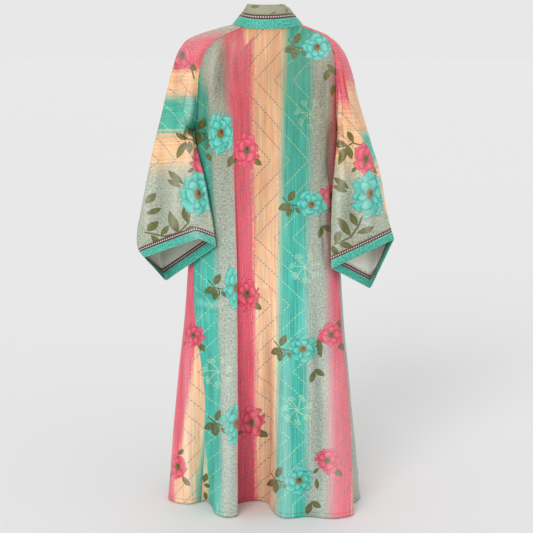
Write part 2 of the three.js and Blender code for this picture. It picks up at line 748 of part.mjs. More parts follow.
function collarPath() {
  const left = leftFrontGrid.map((row) => ({ point: row[0], front: true }));
  const right = rightFrontGrid.map((row) => ({ point: row.at(-1), front: true })).reverse();
  const across = (points) => points.map((point) => ({ point, front: false }));
  return [
    ...left,
    ...across(leftFrontGrid.at(-1).slice(1)),
    ...across([...leftSleeve.front[0]].reverse().slice(1)),
    ...across(leftSleeve.back[0].slice(1)),
    ...across(backGrid.at(-1).slice(1)),
    ...across([...rightSleeve.back[0]].reverse().slice(1)),
    ...across(rightSleeve.front[0].slice(1)),
    ...across(rightFrontGrid.at(-1).slice(1)),
    ...right.slice(1),
  ];
}

function addCollar() {
  const path = collarPath();
  const leans = path.map(({ point, front }) => leanAt(point, front));
  const edges = [0];
  for (const width of [COLLAR_BORDER_WIDTH, COLLAR_TRIM_WIDTH, COLLAR_BAND_WIDTH]) {
    edges.push(edges.at(-1) + width);
  }
  const lines = edges.map((width) =>
    path.map(({ point }, i) => point.clone().addScaledVector(leans[i], width)));
  const names = ['collar_border', 'collar_trim', 'collar_band'];
  const colours = [COLOURS.border, COLOURS.trim, COLOURS.band];
  names.forEach((name, i) => addPiece(name, colours[i], [lines[i], lines[i + 1]]));
}

addCollar();
shareSeams();

const robe = new THREE.Group();
pieces.forEach((piece) => robe.add(wallMesh(piece)));

export default robe;
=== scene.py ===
"""A long kimono robe with raglan sleeves and an open front, seen from the back and filled out as worn.

Tables give millimetres, as [out or x, behind, up], where "behind" is the distance towards the back.
Places in the print are given in print units on a flat view of the back: (right, down).
"""
import functools
import math

import bpy
import numpy as np
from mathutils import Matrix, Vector


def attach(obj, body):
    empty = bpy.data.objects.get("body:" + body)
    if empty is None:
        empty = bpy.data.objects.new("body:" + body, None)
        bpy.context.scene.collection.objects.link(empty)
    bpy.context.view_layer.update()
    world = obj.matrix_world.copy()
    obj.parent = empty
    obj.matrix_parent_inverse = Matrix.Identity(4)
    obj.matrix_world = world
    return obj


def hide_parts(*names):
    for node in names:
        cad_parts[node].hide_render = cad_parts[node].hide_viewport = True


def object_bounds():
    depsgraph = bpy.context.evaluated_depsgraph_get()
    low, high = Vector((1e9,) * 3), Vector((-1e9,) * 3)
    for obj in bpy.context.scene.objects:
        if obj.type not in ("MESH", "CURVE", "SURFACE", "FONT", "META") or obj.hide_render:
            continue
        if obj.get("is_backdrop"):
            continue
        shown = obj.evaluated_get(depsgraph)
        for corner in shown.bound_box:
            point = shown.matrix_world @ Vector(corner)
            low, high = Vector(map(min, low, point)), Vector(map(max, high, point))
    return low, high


bl_info = {
    "name": "Kimono Robe",
    "version": (1, 0, 0),
    "blender": (4, 0, 0),
    "location": "View3D > Sidebar > Kimono",
    "description": "Builds a printed kimono robe and its studio",
    "category": "Add Mesh",
}

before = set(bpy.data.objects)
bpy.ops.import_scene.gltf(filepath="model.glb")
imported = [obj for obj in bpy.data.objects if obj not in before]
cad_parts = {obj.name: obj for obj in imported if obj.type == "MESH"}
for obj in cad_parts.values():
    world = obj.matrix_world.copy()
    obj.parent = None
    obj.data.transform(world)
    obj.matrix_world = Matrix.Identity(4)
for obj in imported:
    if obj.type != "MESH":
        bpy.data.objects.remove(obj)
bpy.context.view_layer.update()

# Heights of the body's sections, and which rows and columns the cloth's form is worked out from
LEVELS = {"hem": -1275, "knee": -990, "hip": -700, "waist": -480, "armpit": -262}
SKIRT_ROWS = 13
RAGLAN_ROWS = 8
UNDERARM_ROWS = 8
FOLD_STEPS = 8
SLEEVE_STEPS = 40
ROW_STEPS = {"skirt": 13, "raglan": 5, "sleeve": 6}

# Lines that run down the body: across the yoke, then (x, behind) at hem, knee, hip, waist and armpit
LEFT_FRONT_LINES = (
    # front edge, first crest, first valley, second crest, second valley, side, side flute, side crest
    (None, (-107, -158), (-104, -140), (-100, -122), (-98, -112), (-98, -103)),
    (None, (-150, -168), (-146, -146), (-134, -121), (-128, -109), (-124, -99)),
    (None, (-184, -128), (-174, -116), (-162, -104), (-154, -94), (-148, -85)),
    (None, (-222, -126), (-202, -106), (-186, -82), (-175, -71), (-167, -64)),
    (None, (-244, -72), (-224, -62), (-203, -46), (-189, -42), (-180, -42)),
    (None, (-269, 0), (-243, 0), (-211, 0), (-196, -4), (-186, -16)),
    (None, (-250, 30), (-232, 28), (-207, 20), (-195, 12), (-187, -2)),
    (None, (-205, 44), (-198, 48), (-198, 37), (-192, 24), (-186, 9)),
)
BACK_LINES = (
    # left seam, first valley, flute rise, flute left, flute crest
    (0, (-176, 26), (-160, 58), (-188, 50), (-187, 34), (-184, 20)),
    (0.07, (-163, 25), (-144, 68), (-160, 74), (-158, 66), (-152, 60)),
    (0.13, (-147, 55), (-134, 96), (-138, 92), (-136, 82), (-132, 74)),
    (0.185, (-130, 113), (-119, 119), (-114, 108), (-113, 98), (-112, 86)),
    (0.225, (-99, 133), (-94, 128), (-92, 116), (-93, 107), (-97, 96)),
    # lap edge and the cloth under the lap
    (0.262, (-74, 118), (-72, 124), (-72, 117), (-75, 112), (-84, 101)),
    (0.295, (-95, 90), (-87, 103), (-79, 106), (-75, 104), (-74, 101)),
    # second valley: its left side, floor and right side
    (0.34, (-75, 44), (-66, 80), (-62, 100), (-60, 104), (-60, 102)),
    (0.42, (-31, 22), (-36, 72), (-38, 99), (-36, 106), (-36, 104)),
    (0.5, (2, 32), (1, 78), (-2, 101), (-4, 107), (-4, 105)),
    # broad flute: rise, left, dip, right and its fold
    (0.58, (20, 88), (26, 110), (29, 110), (28, 109), (30, 105)),
    (0.66, (46, 136), (56, 128), (63, 117), (60, 110), (60, 103)),
    (0.745, (113, 127), (111, 119), (109, 109), (96, 106), (90, 99)),
    (0.82, (184, 139), (174, 112), (152, 92), (130, 97), (112, 93)),
    (0.88, (233, 116), (222, 58), (184, 66), (152, 82), (126, 86)),
    # recess and right seam
    (0.94, (236, 90), (220, 46), (192, 56), (164, 54), (152, 58)),
    (1, (228, 62), (216, 34), (197, 42), (185, 32), (185, 20)),
)
RIGHT_FRONT_LINES = (
    # seam flute, side, second valley, second crest, front flute, first valley, first crest, front edge
    (None, (246, 30), (228, 18), (202, 24), (190, 14), (188, 4)),
    (None, (261, 0), (232, 0), (203, 2), (192, -4), (186, -14)),
    (None, (258, -40), (228, -34), (201, -22), (189, -22), (180, -26)),
    (None, (236, -78), (214, -66), (194, -50), (181, -46), (172, -46)),
    (None, (220, -126), (197, -104), (180, -80), (169, -72), (160, -68)),
    (None, (184, -128), (172, -116), (158, -102), (150, -94), (144, -85)),
    (None, (150, -168), (144, -146), (132, -121), (125, -109), (122, -99)),
    (None, (107, -158), (104, -140), (100, -122), (98, -112), (98, -103)),
)
LAP_LINE = 5

# Front edges and the middle of the back at the sleeves' stations from neck to armpit
FRONT_EDGE_TOP = (
    (82, -34, -12), (84, -46, -34), (88, -62, -66), (91, -78, -110),
    (94, -90, -162), (96, -98, -212), (97.5, -101, -240), (98, -103, -262),
)
BACK_MIDDLE = (
    (66, -8), (80, -36), (90, -68), (97, -112), (102, -160), (105, -205), (105.5, -236), (105, -262),
)

# Sleeve sections from neck to cuff. A fold is [share of the way from the over-arm seam, out, behind,
# down, form towards that seam, form towards the inner seam]: 0 is a low arch, 1 round and 2 creased.
COLUMNS = ("over", "back", "front", "backFold", "frontFold")
LEFT_SLEEVE = (
    # neck
    ((80, 5, 5), (59, 45, -3), (86, -10, 2),
     (0.5, 2, 3, 0, 0, 0), (0.5, 1, -2, 0, 0, 0)),
    # neck side
    ((118, 0, -5), (94, 55, -18), (104, -42, -34),
     (0.5, 0, 9, -3, 0, 0), (0.5, 0, -8, -3, 0, 0)),
    # slope
    ((170, -2, -21), (136, 62, -45), (132, -60, -82),
     (0.5, 4, 14, -5, 0, 0), (0.5, 6, -14, -6, 0, 0)),
    # shoulder
    ((212, -2, -44), (160, 65, -88), (154, -68, -130),
     (0.5, 6, 20, -3, 0, 0), (0.5, 8, -22, -6, 0, 0)),
    # cap
    ((232, 0, -90), (170, 62, -148), (171, -58, -180),
     (0.5, 4, 24, 0, 0.1, 0.1), (0.5, 8, -30, 0, 0.1, 0)),
    # upper arm
    ((247, 3, -140), (173, 56, -205), (183, -34, -228),
     (0.5, 2, 27, 0, 0.25, 0.25), (0.5, 6, -42, 0, 0.25, 0)),
    # under arm
    ((262, 7, -200), (178, 38, -238), (187, -4, -254),
     (0.5, 0, 29, 0, 0.4, 0.4), (0.48, 2, -54, 0, 0.4, 0.9)),
    # armpit
    ((271, 10, -236), (184, 20, -262), (184, 20, -262),
     (0.5, 0, 30, 0, 0.5, 0.5), (0.48, 4, -62, 0, 0.5, 2)),
    # arm
    ((285, 16, -290), (173, 52, -312), (173, 52, -312),
     (0.5, 0, 28, 0, 0.6, 0.6), (0.42, 6, -66, 0, 0.6, 2)),
    # elbow
    ((301, 24, -362), (155, 80, -375), (155, 80, -375),
     (0.55, 0, 26, 0, 0.8, 0.8), (0.38, 6, -68, 6, 0.8, 2)),
    # forearm
    ((318, 34, -445), (142, 95, -440), (142, 95, -440),
     (0.62, 0, 26, -4, 1.1, 1.1), (0.34, 6, -70, 24, 1.1, 2)),
    # corner
    ((336, 46, -548), (131, 104, -505), (131, 104, -505),
     (0.72, 0, 26, -18, 1.7, 1.7), (0.3, 4, -72, 60, 1.7, 2)),
    # cuff
    ((312, 76, -584), (126, 108, -549), (126, 108, -549),
     (0.78, 0, 26, -31, 2, 2), (0.28, 4, -74, 86, 2, 2)),
)
RIGHT_SLEEVE = (
    # neck
    ((94, 3, 3), (86, 21, 1), (86, -10, 2),
     (0.5, 0, 0, 0, 0, 0), (0.5, 3, -2, 0, 0, 0)),
    # neck side
    ((124, 5, -9), (119, 24, -12), (104, -42, -34),
     (0.5, 0, 0, 0, 0, 0), (0.45, 3, -8, -6, 0, 0)),
    # slope
    ((164, 13, -29), (156, 32, -32), (132, -60, -82),
     (0.5, 0, 0, 0, 0, 0), (0.4, 14, -18, -14, 0, 0)),
    # shoulder
    ((187, 31, -71), (174, 46, -72), (154, -68, -130),
     (0.5, 0, 0, 0, 0, 0), (0.35, 30, -22, -16, 0, 0)),
    # cap
    ((199, 52, -127), (178, 50, -114), (171, -58, -180),
     (0.5, 0, 6, 0, 0.1, 0.1), (0.35, 38, -34, -6, 0.1, 0)),
    # upper arm
    ((213, 62, -190), (178, 48, -168), (183, -34, -228),
     (0.5, 0, 10, 0, 0.25, 0.25), (0.35, 38, -50, -2, 0.25, 0)),
    # under arm
    ((226, 65, -236), (181, 36, -224), (188, -4, -254),
     (0.5, 0, 14, 0, 0.4, 0.4), (0.35, 38, -64, 0, 0.4, 0.4)),
    # armpit
    ((238, 66, -262), (185, 20, -262), (185, 20, -262),
     (0.5, 0, 16, 0, 0.5, 0.5), (0.34, 38, -84, 0, 0.5, 1)),
    # arm
    ((254, 66, -300), (180, 50, -312), (180, 50, -312),
     (0.5, 0, 16, 0, 0.6, 0.6), (0.32, 36, -92, 0, 0.6, 1.6)),
    # elbow
    ((275, 66, -352), (173, 73, -380), (173, 73, -380),
     (0.5, 0, 16, 0, 0.8, 0.8), (0.3, 34, -94, 0, 0.8, 2)),
    # forearm
    ((298, 64, -436), (168, 87, -455), (168, 87, -455),
     (0.5, 0, 14, 0, 1.1, 1.1), (0.3, 30, -92, 10, 1.1, 2)),
    # corner
    ((320, 58, -500), (167, 95, -540), (167, 95, -540),
     (0.5, 0, 10, 0, 1, 1), (0.32, 28, -84, 44, 1.6, 2)),
    # cuff
    ((333, 52, -541), (169, 100, -608), (169, 100, -608),
     (0.5, 0, 6, 0, 1, 1), (0.42, 14, -62, 112, 2, 2)),
)
ARMPIT_STATION = 7
LAST_STATION = 12
# The share of each half's columns, from the over-arm seam, in which the rows are evened out
EASED_FROM = 2 / 9
EASED_TO = {"left": {"back": 6 / 9, "front": 4 / 9}, "right": {"back": 4 / 6, "front": 4 / 9}}
EASE_ROUNDS = 4
EASE_REACH = 3
CROWDING = 0.7  # how strongly a sleeve's columns crowd towards its seams
YOKE_BULGE = 2.4
TAUT_WIDTH = 0.028  # a front narrower than this lies flat, and a wider one is fuller by this share
FRONT_FULLNESS = 0.14

FRONT_LEAN = (
    # height of the seam, then (inward, behind, up)
    (-1275, (1, -0.12, 0)),
    (-212, (1, -0.1, 0.02)),
    (-110, (1, -0.3, 0.25)),
    (-34, (0.9, -0.4, 0.62)),
    (-12, (0.78, -0.28, 0.75)),
)
NECK_SIDE_LEAN = (0.66, -0.1, 0.8)
NECK_BACK_LEAN = (0, -0.26, 0.96)
NECK_DEPTH = 0.066  # the lean of the neck's side gives way to the back's over this much, in metres
NECK_TURN = 1.5
NECK_HALF_WIDTH = 0.08

# Widths of the sewn-on bands, in metres
BORDER_WIDTH = 0.025
TRIM_WIDTH = 0.011
BAND_WIDTH = 0.026
CUFF_TRIM_WIDTH = 0.011
CUFF_BORDER_WIDTH = 0.022

# The flat view of the back: seen level with its middle, from 3 m behind and 11.5 degrees above
VIEW_DISTANCE = 3.0
VIEW_TILT = math.radians(11.5)
VIEW_MIDDLE = -0.6234


# Curves and grids


def to_point(place, side=1):
    """A table's [out, behind, up] in millimetres as a point in metres."""
    out, behind, up = place
    return np.array((side * out, -behind, up)) / 1000


def smooth(places, values, place):
    """A smooth curve through rows of numbers that never overshoots them."""
    values = np.asarray(values, float)
    places = np.asarray(places, float)
    last = len(places) - 1
    i = int(np.clip(np.searchsorted(places, place, side="right") - 1, 0, last - 1))
    slopes = np.diff(values, axis=0) / np.diff(places)[:, None]

    def tangent(k):
        if k in (0, last):
            return slopes[min(k, last - 1)]
        before, after = slopes[k - 1], slopes[k]
        total = np.where(before + after == 0, 1, before + after)
        return np.where(before * after <= 0, 0, 2 * before * after / total)

    span = places[i + 1] - places[i]
    t = min(1, max(0, (place - places[i]) / span))
    start = values[i] * (2 * t**3 - 3 * t**2 + 1) + tangent(i) * span * (t**3 - 2 * t**2 + t)
    end = values[i + 1] * (3 * t**2 - 2 * t**3) + tangent(i + 1) * span * (t**3 - t**2)
    return start + end


def thread(points, steps):
    """A smooth curve through points, or through rows of them, with equal steps between each two."""
    p = np.asarray(points, float)
    q = np.concatenate(((2 * p[0] - p[1])[None], p, (2 * p[-1] - p[-2])[None]))
    gaps = np.sqrt(np.maximum(np.linalg.norm(np.diff(q, axis=0), axis=-1, keepdims=True), 1e-7))
    if np.isscalar(steps):
        steps = [steps] * (len(p) - 1)
    result = []
    for k in range(len(p) - 1):
        a, b, c, d = q[k : k + 4]
        first, middle, last = gaps[k : k + 3]
        leaving = ((b - a) / first - (c - a) / (first + middle) + (c - b) / middle) * middle
        arriving = ((c - b) / middle - (d - b) / (middle + last) + (d - c) / last) * middle
        for j in range(steps[k]):
            t = j / steps[k]
            start = b * (2 * t**3 - 3 * t**2 + 1) + leaving * (t**3 - 2 * t**2 + t)
            end = c * (3 * t**2 - 2 * t**3) + arriving * (t**3 - t**2)
            result.append(start + end)
    result.append(p[-1])
    return np.array(result)


def ease_rows(grid, middle_row, first, last):
    """Evens out the rows on both sides of a row, in the columns from first to last."""
    for _ in range(EASE_ROUNDS):
        for r in range(middle_row - EASE_REACH, middle_row + EASE_REACH + 1):
            here = grid[r, first : last + 1]
            below = grid[r - 1, first : last + 1]
            above = grid[r + 1, first : last + 1]
            before = np.linalg.norm(here - below, axis=-1, keepdims=True)
            after = np.linalg.norm(here - above, axis=-1, keepdims=True)
            share = before / (before + after)
            grid[r, first : last + 1] = (here + below + (above - below) * share) / 2
    return grid


def lengths(points):
    """How far along a row of points, or down each column of a grid, every point lies, in metres."""
    steps = np.linalg.norm(np.diff(points, axis=0), axis=-1)
    return np.concatenate((np.zeros_like(steps[:1]), np.cumsum(steps, axis=0)))


# The body


def line_points(lines, height):
    """Where the lines that run down the body are at one height."""
    heights = list(LEVELS.values())
    return np.array([to_point((*smooth(heights, line[1:], height), height)) for line in lines])


def sleeve_section(rows, station):
    """A sleeve's seams and folds at a station; from the armpit on its two halves share one inner seam."""
    places = range(len(rows))
    section = {
        name: smooth(places, [row[k] for row in rows], station) for k, name in enumerate(COLUMNS)
    }
    if station >= ARMPIT_STATION:
        section["front"] = section["back"]
    return section


def raglan_stations():
    return np.linspace(ARMPIT_STATION, 0, RAGLAN_ROWS + 1)


def back_arch(station):
    """A row of the yoke bows out from seam to seam."""
    left = to_point(sleeve_section(LEFT_SLEEVE, station)["back"], -1)
    right = to_point(sleeve_section(RIGHT_SLEEVE, station)["back"])
    behind, up = smooth(range(len(BACK_MIDDLE)), BACK_MIDDLE, station) / 1000
    across = np.array([line[0] for line in BACK_LINES])[:, None]
    bulge = 1 - np.abs(2 * across - 1) ** YOKE_BULGE
    centre = (left + right) / 2
    rise = np.array((0, -behind - centre[1], up - centre[2]))
    return left + (right - left) * across + rise * bulge


def front_arch(station, rows, count, side):
    """A row of a front's top runs from the front edge to the raglan seam."""
    seam = to_point(sleeve_section(rows, station)["front"], side)
    edge = to_point(smooth(range(len(FRONT_EDGE_TOP)), FRONT_EDGE_TOP, station), side)
    fullness = max(0, np.linalg.norm(edge - seam) - TAUT_WIDTH) * FRONT_FULLNESS
    across = np.linspace(0, 1, count)[:, None]
    row = edge + (seam - edge) * across + np.array((0, fullness, 0)) * np.sin(np.pi * across)
    return row if side < 0 else row[::-1]


def body_grid(lines, arch, fading, eased):
    """Rows of the skirt and the yoke: the folds of the body below die away over the rows above."""
    heights = np.linspace(LEVELS["hem"], LEVELS["armpit"], SKIRT_ROWS + 1)
    whole = LEFT_FRONT_LINES + BACK_LINES + RIGHT_FRONT_LINES
    first = whole.index(lines[0])
    below = []
    for height in heights[:-1]:
        around = thread(line_points(whole, height), FOLD_STEPS)
        below.append(around[first * FOLD_STEPS : (first + len(lines) - 1) * FOLD_STEPS + 1])
    at_armpit = line_points(lines, LEVELS["armpit"]) - arch(ARMPIT_STATION)
    top = []
    for station in raglan_stations():
        share = (station / ARMPIT_STATION) ** fading
        top.append(thread(arch(station) + at_armpit * share, FOLD_STEPS))
    grid = ease_rows(np.array(below + top), SKIRT_ROWS, *eased)
    steps = [ROW_STEPS["skirt"]] * SKIRT_ROWS + [ROW_STEPS["raglan"]] * RAGLAN_ROWS
    return thread(grid, steps)


# The sleeves


def fold_shape(across, middle, over_form, inner_form):
    """Height of a fold over the straight line across a half: a low arch, round or creased."""
    outer = across < middle
    away = np.where(outer, (middle - across) / middle, (across - middle) / (1 - middle))
    form = np.where(outer, over_form, inner_form)
    arch = 1 - away**2
    rounded = np.sqrt(np.maximum(0, arch))
    low = arch + (rounded - arch) * np.minimum(form, 1)
    return np.where(form < 1, low, rounded + (1 - away - rounded) * np.clip(form - 1, 0, 1))


def sleeve_half(name, rows, half, side):
    """Rows of half a sleeve from the neck to the cuff, each from the over-arm seam to the inner one."""
    t = np.linspace(0, 1, SLEEVE_STEPS + 1)
    shares = t + ((1 - np.cos(np.pi * t)) / 2 - t) * CROWDING
    stations = list(np.linspace(0, ARMPIT_STATION, RAGLAN_ROWS + 1))
    stations += list(np.linspace(ARMPIT_STATION, LAST_STATION, UNDERARM_ROWS + 1)[1:])
    grid = []
    for station in stations:
        section = sleeve_section(rows, station)
        middle, out, behind, down, over_form, inner_form = section[f"{half}Fold"]
        height = fold_shape(shares, middle, over_form, inner_form)[:, None]
        straight = section["over"] + (section[half] - section["over"]) * shares[:, None]
        place = straight + height * np.array((out, behind, -down))
        grid.append(place * np.array((side, -1, 1)) / 1000)
    eased = [int(SLEEVE_STEPS * share) for share in (EASED_FROM, EASED_TO[name][half])]
    return thread(ease_rows(np.array(grid), RAGLAN_ROWS, *eased), ROW_STEPS["sleeve"])


def cuff_row(grid, distance):
    """The row at a distance from the cuff's edge, measured along the cloth in each column."""
    row = []
    for column in range(grid.shape[1]):
        line = grid[::-1, column]
        along = lengths(line)
        row.append([np.interp(distance, along, line[:, axis]) for axis in range(3)])
    return np.array(row)


def above_cuff(grid, distance):
    """The grid's rows down to that distance from the cuff's edge, spaced out again."""
    kept = np.empty_like(grid)
    for column in range(grid.shape[1]):
        line = grid[:, column]
        along = lengths(line)
        spots = along / along[-1] * (along[-1] - distance)
        for axis in range(3):
            kept[:, column, axis] = np.interp(spots, along, line[:, axis])
    return kept


# The collar


def lean_at(point, on_front):
    """The direction in which the collar stands off its seam."""
    side = 1 if point[0] >= 0 else -1
    if on_front:
        heights = [row[0] for row in FRONT_LEAN]
        inward, behind, up = smooth(heights, [row[1] for row in FRONT_LEAN], point[2] * 1000)
        lean = np.array((-side * inward, -behind, up))
    else:
        share = min(1, max(0, -point[1] / NECK_DEPTH)) ** NECK_TURN
        inward, behind, up = np.array(NECK_SIDE_LEAN) * (1 - share) + np.array(NECK_BACK_LEAN) * share
        lean = np.array((-side * inward * min(1, abs(point[0]) / NECK_HALF_WIDTH), -behind, up))
    return lean / np.linalg.norm(lean)


def collar_path(grids):
    """Points of the seam that carries the collar, up the left front, round the neck and down again."""
    front = [(point, True) for point in grids["left_front"][:, 0]]
    back = [(point, True) for point in grids["right_front"][::-1, -1]]
    runs = (
        grids["left_front"][-1, 1:],
        grids["left_sleeve_front"][0, ::-1][1:],
        grids["left_sleeve_back"][0, 1:],
        grids["back_panel"][-1, 1:],
        grids["right_sleeve_back"][0, ::-1][1:],
        grids["right_sleeve_front"][0, 1:],
        grids["right_front"][-1, 1:],
    )
    neck = [(point, False) for run in runs for point in run]
    return front + neck + back[1:]


def all_grids():
    """Every piece's surface as rows of points, before its own wrinkles are laid on."""
    left_lines = LEFT_FRONT_LINES + BACK_LINES[:1]
    right_lines = BACK_LINES[-1:] + RIGHT_FRONT_LINES
    columns = (len(left_lines) - 1) * FOLD_STEPS
    unit = FOLD_STEPS // 2
    grids = {
        "back_panel": body_grid(
            BACK_LINES, back_arch, 2, (2 * unit, (len(BACK_LINES) - 1) * FOLD_STEPS - 2 * unit)
        ),
        "left_front": body_grid(
            left_lines, lambda s: front_arch(s, LEFT_SLEEVE, len(left_lines), -1), 5, (unit, 9 * unit)
        ),
        "right_front": body_grid(
            right_lines,
            lambda s: front_arch(s, RIGHT_SLEEVE, len(right_lines), 1),
            5,
            (columns - 9 * unit, columns - unit),
        ),
    }
    for name, rows, side in (("left", LEFT_SLEEVE, -1), ("right", RIGHT_SLEEVE, 1)):
        for half in ("back", "front"):
            grids[f"{name}_sleeve_{half}"] = sleeve_half(name, rows, half, side)
    return grids


# Places in the print

UNIT = 0.00265  # a print unit in metres; places count units right and down from the flat view's corner
VIEW_CENTRE = (265.5, 266.5)
BAND_PERIOD = 97
LEFT_SIDE_LINE = 5  # the fold line of each front that is its outermost as seen from the back
RIGHT_SIDE_LINE = 2
HEM_DEPTH = 0.012
HEM_EDGE = 0.003
SEAM_DIP = 0.0009
SEAM_DIP_WIDTH = 0.004
SEAM_FADE = 0.02  # wrinkles die away over this much towards a seam
WRINKLE_STRENGTH = 2.1
WRINKLE_WANDER = 0.25
SEAM_TAPER = 0.004  # a wall thins out over this much at its seams, to the share below
THIN_EDGE = 0.06
FINE_CREASE = 0.25
FOLD_REACH = 9  # points to each side that a fold's depth is measured against
DEEP_FOLD = 0.006
OVER_LAP = 40  # added to the colour phase of cloth right of the lap, ten rounds of the colours
FLOOR_REACH = 60
FLOOR_SIDES = 96
FLOOR_DROP = 0.002
NECK_SIDE = (0.084, -0.012, 0.002)
BAND_DROP = 0.2  # how much of its width the leaf band loses at the neck's sides
BAND_DROP_REACH = 0.05
SENSOR_WIDTH = 36
VIEW_SHIFT = 0.0019
# Where the zigzags turn: down, and the count of turns
CHEVRON_TIPS = ((0, -1), (80, 0), (160.5, 1), (238, 2), (305.6, 3), (372.2, 4), (437.5, 5), (505, 6))

# Where the colours change on the flat view: down, then the left edges of pink, cream, teal, grey
# and the next pink
RIGHT_OF_LAP = (
    (30, 222, 256, 286, 314, 336),
    (60, 226, 255, 284, 313, 335),
    (250, 231, 257, 279, 308, 330),
    (480, 233, 260, 275.5, 307, 331),
)
LEFT_OF_LAP = (
    (30, 120, 146, 170, 197, 222),
    (60, 122, 148, 172, 198, 226),
    (100, 127, 153, 178, 209, 227),
    (140, 137, 161, 185, 211, 238),
    (250, 139, 163, 187, 216, 240),
    (400, 150, 175, 199, 220, 240),
    (480, 160, 186, 208, 221, 241),
)
LEFT_SIDE = (
    (280, 182, 206, 224, 246, 270),
    (345, 176, 199, 215, 240, 264),
    (400, 169, 191, 209, 230, 254),
    (480, 155, 177, 197, 221, 245),
)
RIGHT_SIDE = (
    (280, 270, 294, 318, 338, 366),
    (480, 278, 302, 326, 345, 376),
)


def flat_view(points):
    """Places on the flat view, in print units."""
    x, y, z = points[..., 0], points[..., 1], points[..., 2] - VIEW_MIDDLE
    away = VIEW_DISTANCE + y * math.cos(VIEW_TILT) - z * math.sin(VIEW_TILT)
    right = VIEW_DISTANCE / UNIT * x / away
    up = VIEW_DISTANCE / UNIT * (y * math.sin(VIEW_TILT) + z * math.cos(VIEW_TILT)) / away
    return np.stack((VIEW_CENTRE[0] + right, VIEW_CENTRE[1] - up), axis=-1)


def colour_phase(places, table):
    """How far through the colours' order a place is: 0 pink, 1 cream, 2 teal, 3 grey, 4 pink again."""
    across, down = places[..., 0], places[..., 1]
    levels = [row[0] for row in table]
    edges = [np.interp(down, levels, [row[k] for row in table]) for k in range(1, 6)]
    phase = (across - edges[0]) / (edges[1] - edges[0])
    for k in range(1, 4):
        phase = np.where(across >= edges[k], k + (across - edges[k]) / (edges[k + 1] - edges[k]), phase)
    beyond = across > edges[4]
    return np.where(beyond, 4 + (across - edges[4]) / (BAND_PERIOD / 4), phase)


def chevron_phase(places):
    """How many turns of the zigzags lie above a place."""
    downs, tips = zip(*CHEVRON_TIPS)
    return np.interp(places[..., 1], downs, tips)


def along_the_cloth(grid, places, column, step, side):
    """Print places that from a column on are measured along the cloth, towards one side."""
    result = places.copy()
    while 0 <= column + step < grid.shape[1]:
        gap = np.linalg.norm(grid[:, column + step] - grid[:, column], axis=-1) / UNIT
        result[:, column + step, 0] = result[:, column, 0] + side * gap
        result[:, column + step, 1] = result[:, column, 1]
        column += step
    return result


# Wrinkles: from and to on the print, then half width and height, all in print units
BODY_WRINKLES = (
    # pull lines at the left hip
    ((194, 300), (224, 307), 4, 1.1),
    ((194, 292), (222, 299), 4, -0.9),
    ((196, 312), (212, 322), 5, 0.6),
    # soft valley and roll below the left raglan seam
    ((224, 36), (222, 104), 4.5, -1.5),
    ((212, 48), (211, 118), 6, 1.3),
    ((205, 76), (204, 150), 4, -0.9),
    ((216, 120), (214, 250), 5, 0.7),
    # light and shade between the lap and the broad flute, and down the broad flute
    ((256, 270), (257, 500), 5, 1.4),
    ((267, 310), (269, 505), 3.5, -1.1),
    ((316, 300), (319, 500), 5.5, -1.1),
    ((287, 330), (284, 505), 6, 0.9),
    ((332, 350), (336, 505), 5, 0.8),
    ((219, 330), (216, 500), 5, -0.9),
    ((229, 320), (230, 500), 5, 0.8),
    ((188, 330), (184, 490), 6, 1.3),
    # small folds in the right recess
    ((326.5, 178), (327, 214), 2.2, 1.2),
    ((322, 214), (325, 262), 2.5, -0.9),
    ((331, 120), (329, 180), 3, -0.8),
    # long, shallow folds of the back
    ((250, 120), (252, 300), 9, 0.7),
    ((263, 150), (262, 330), 7, -0.6),
    ((282, 90), (284, 260), 9, 0.6),
    ((296, 240), (293, 470), 8, -0.7),
    ((306, 180), (310, 420), 9, 0.6),
    ((320, 300), (322, 500), 8, -0.6),
    ((341, 330), (347, 505), 6, 0.6),
    ((226, 320), (228, 500), 6, 0.5),
    ((182, 330), (176, 500), 6, -0.8),
    ((192, 360), (188, 500), 5, 0.8),
    # across the waist
    ((240, 288), (280, 288), 2.5, 0.35),
    ((286, 276), (318, 281), 5, 0.5),
    # the sides and fronts that the back hides
    ((150, 150), (146, 420), 7, 0.9),
    ((128, 200), (120, 480), 8, -0.9),
    ((108, 120), (98, 380), 7, 0.8),
    ((84, 240), (70, 500), 8, -0.8),
    ((382, 150), (390, 420), 7, 0.9),
    ((402, 220), (412, 490), 8, -0.9),
    ((424, 130), (436, 380), 7, 0.8),
    ((448, 240), (462, 500), 8, -0.8),
)
SLEEVE_WRINKLES = (
    # left sleeve, back
    ((176, 62), (170, 150), 6, -1.8),
    ((190, 70), (186, 190), 6, 1.8),
    ((163, 120), (156, 228), 7, -1.5),
    ((200, 120), (205, 228), 5, -2),
    ((178, 150), (172, 246), 6, 1.6),
    ((150, 170), (147, 236), 5, 1.2),
    ((197, 96), (182, 126), 4, 1.5),
    ((198, 112), (178, 148), 4, -1.5),
    ((190, 205), (196, 240), 4, 1.4),
    # right sleeve, back
    ((340, 90), (342, 200), 4, 1.5),
    ((348, 120), (352, 250), 6, -1.6),
    ((362, 165), (370, 244), 6, 1.6),
    ((336, 150), (346, 172), 4, -1.4),
    ((336, 185), (340, 255), 4, 1.4),
)
FRONT_SLEEVE_WRINKLES = (
    ((140, 100), (128, 220), 7, 1.1),
    ((118, 90), (104, 230), 8, -1.1),
    ((96, 130), (88, 240), 7, 0.9),
    ((380, 100), (392, 220), 7, 1.1),
    ((402, 90), (418, 230), 8, -1.1),
    ((430, 130), (438, 240), 7, 0.9),
)


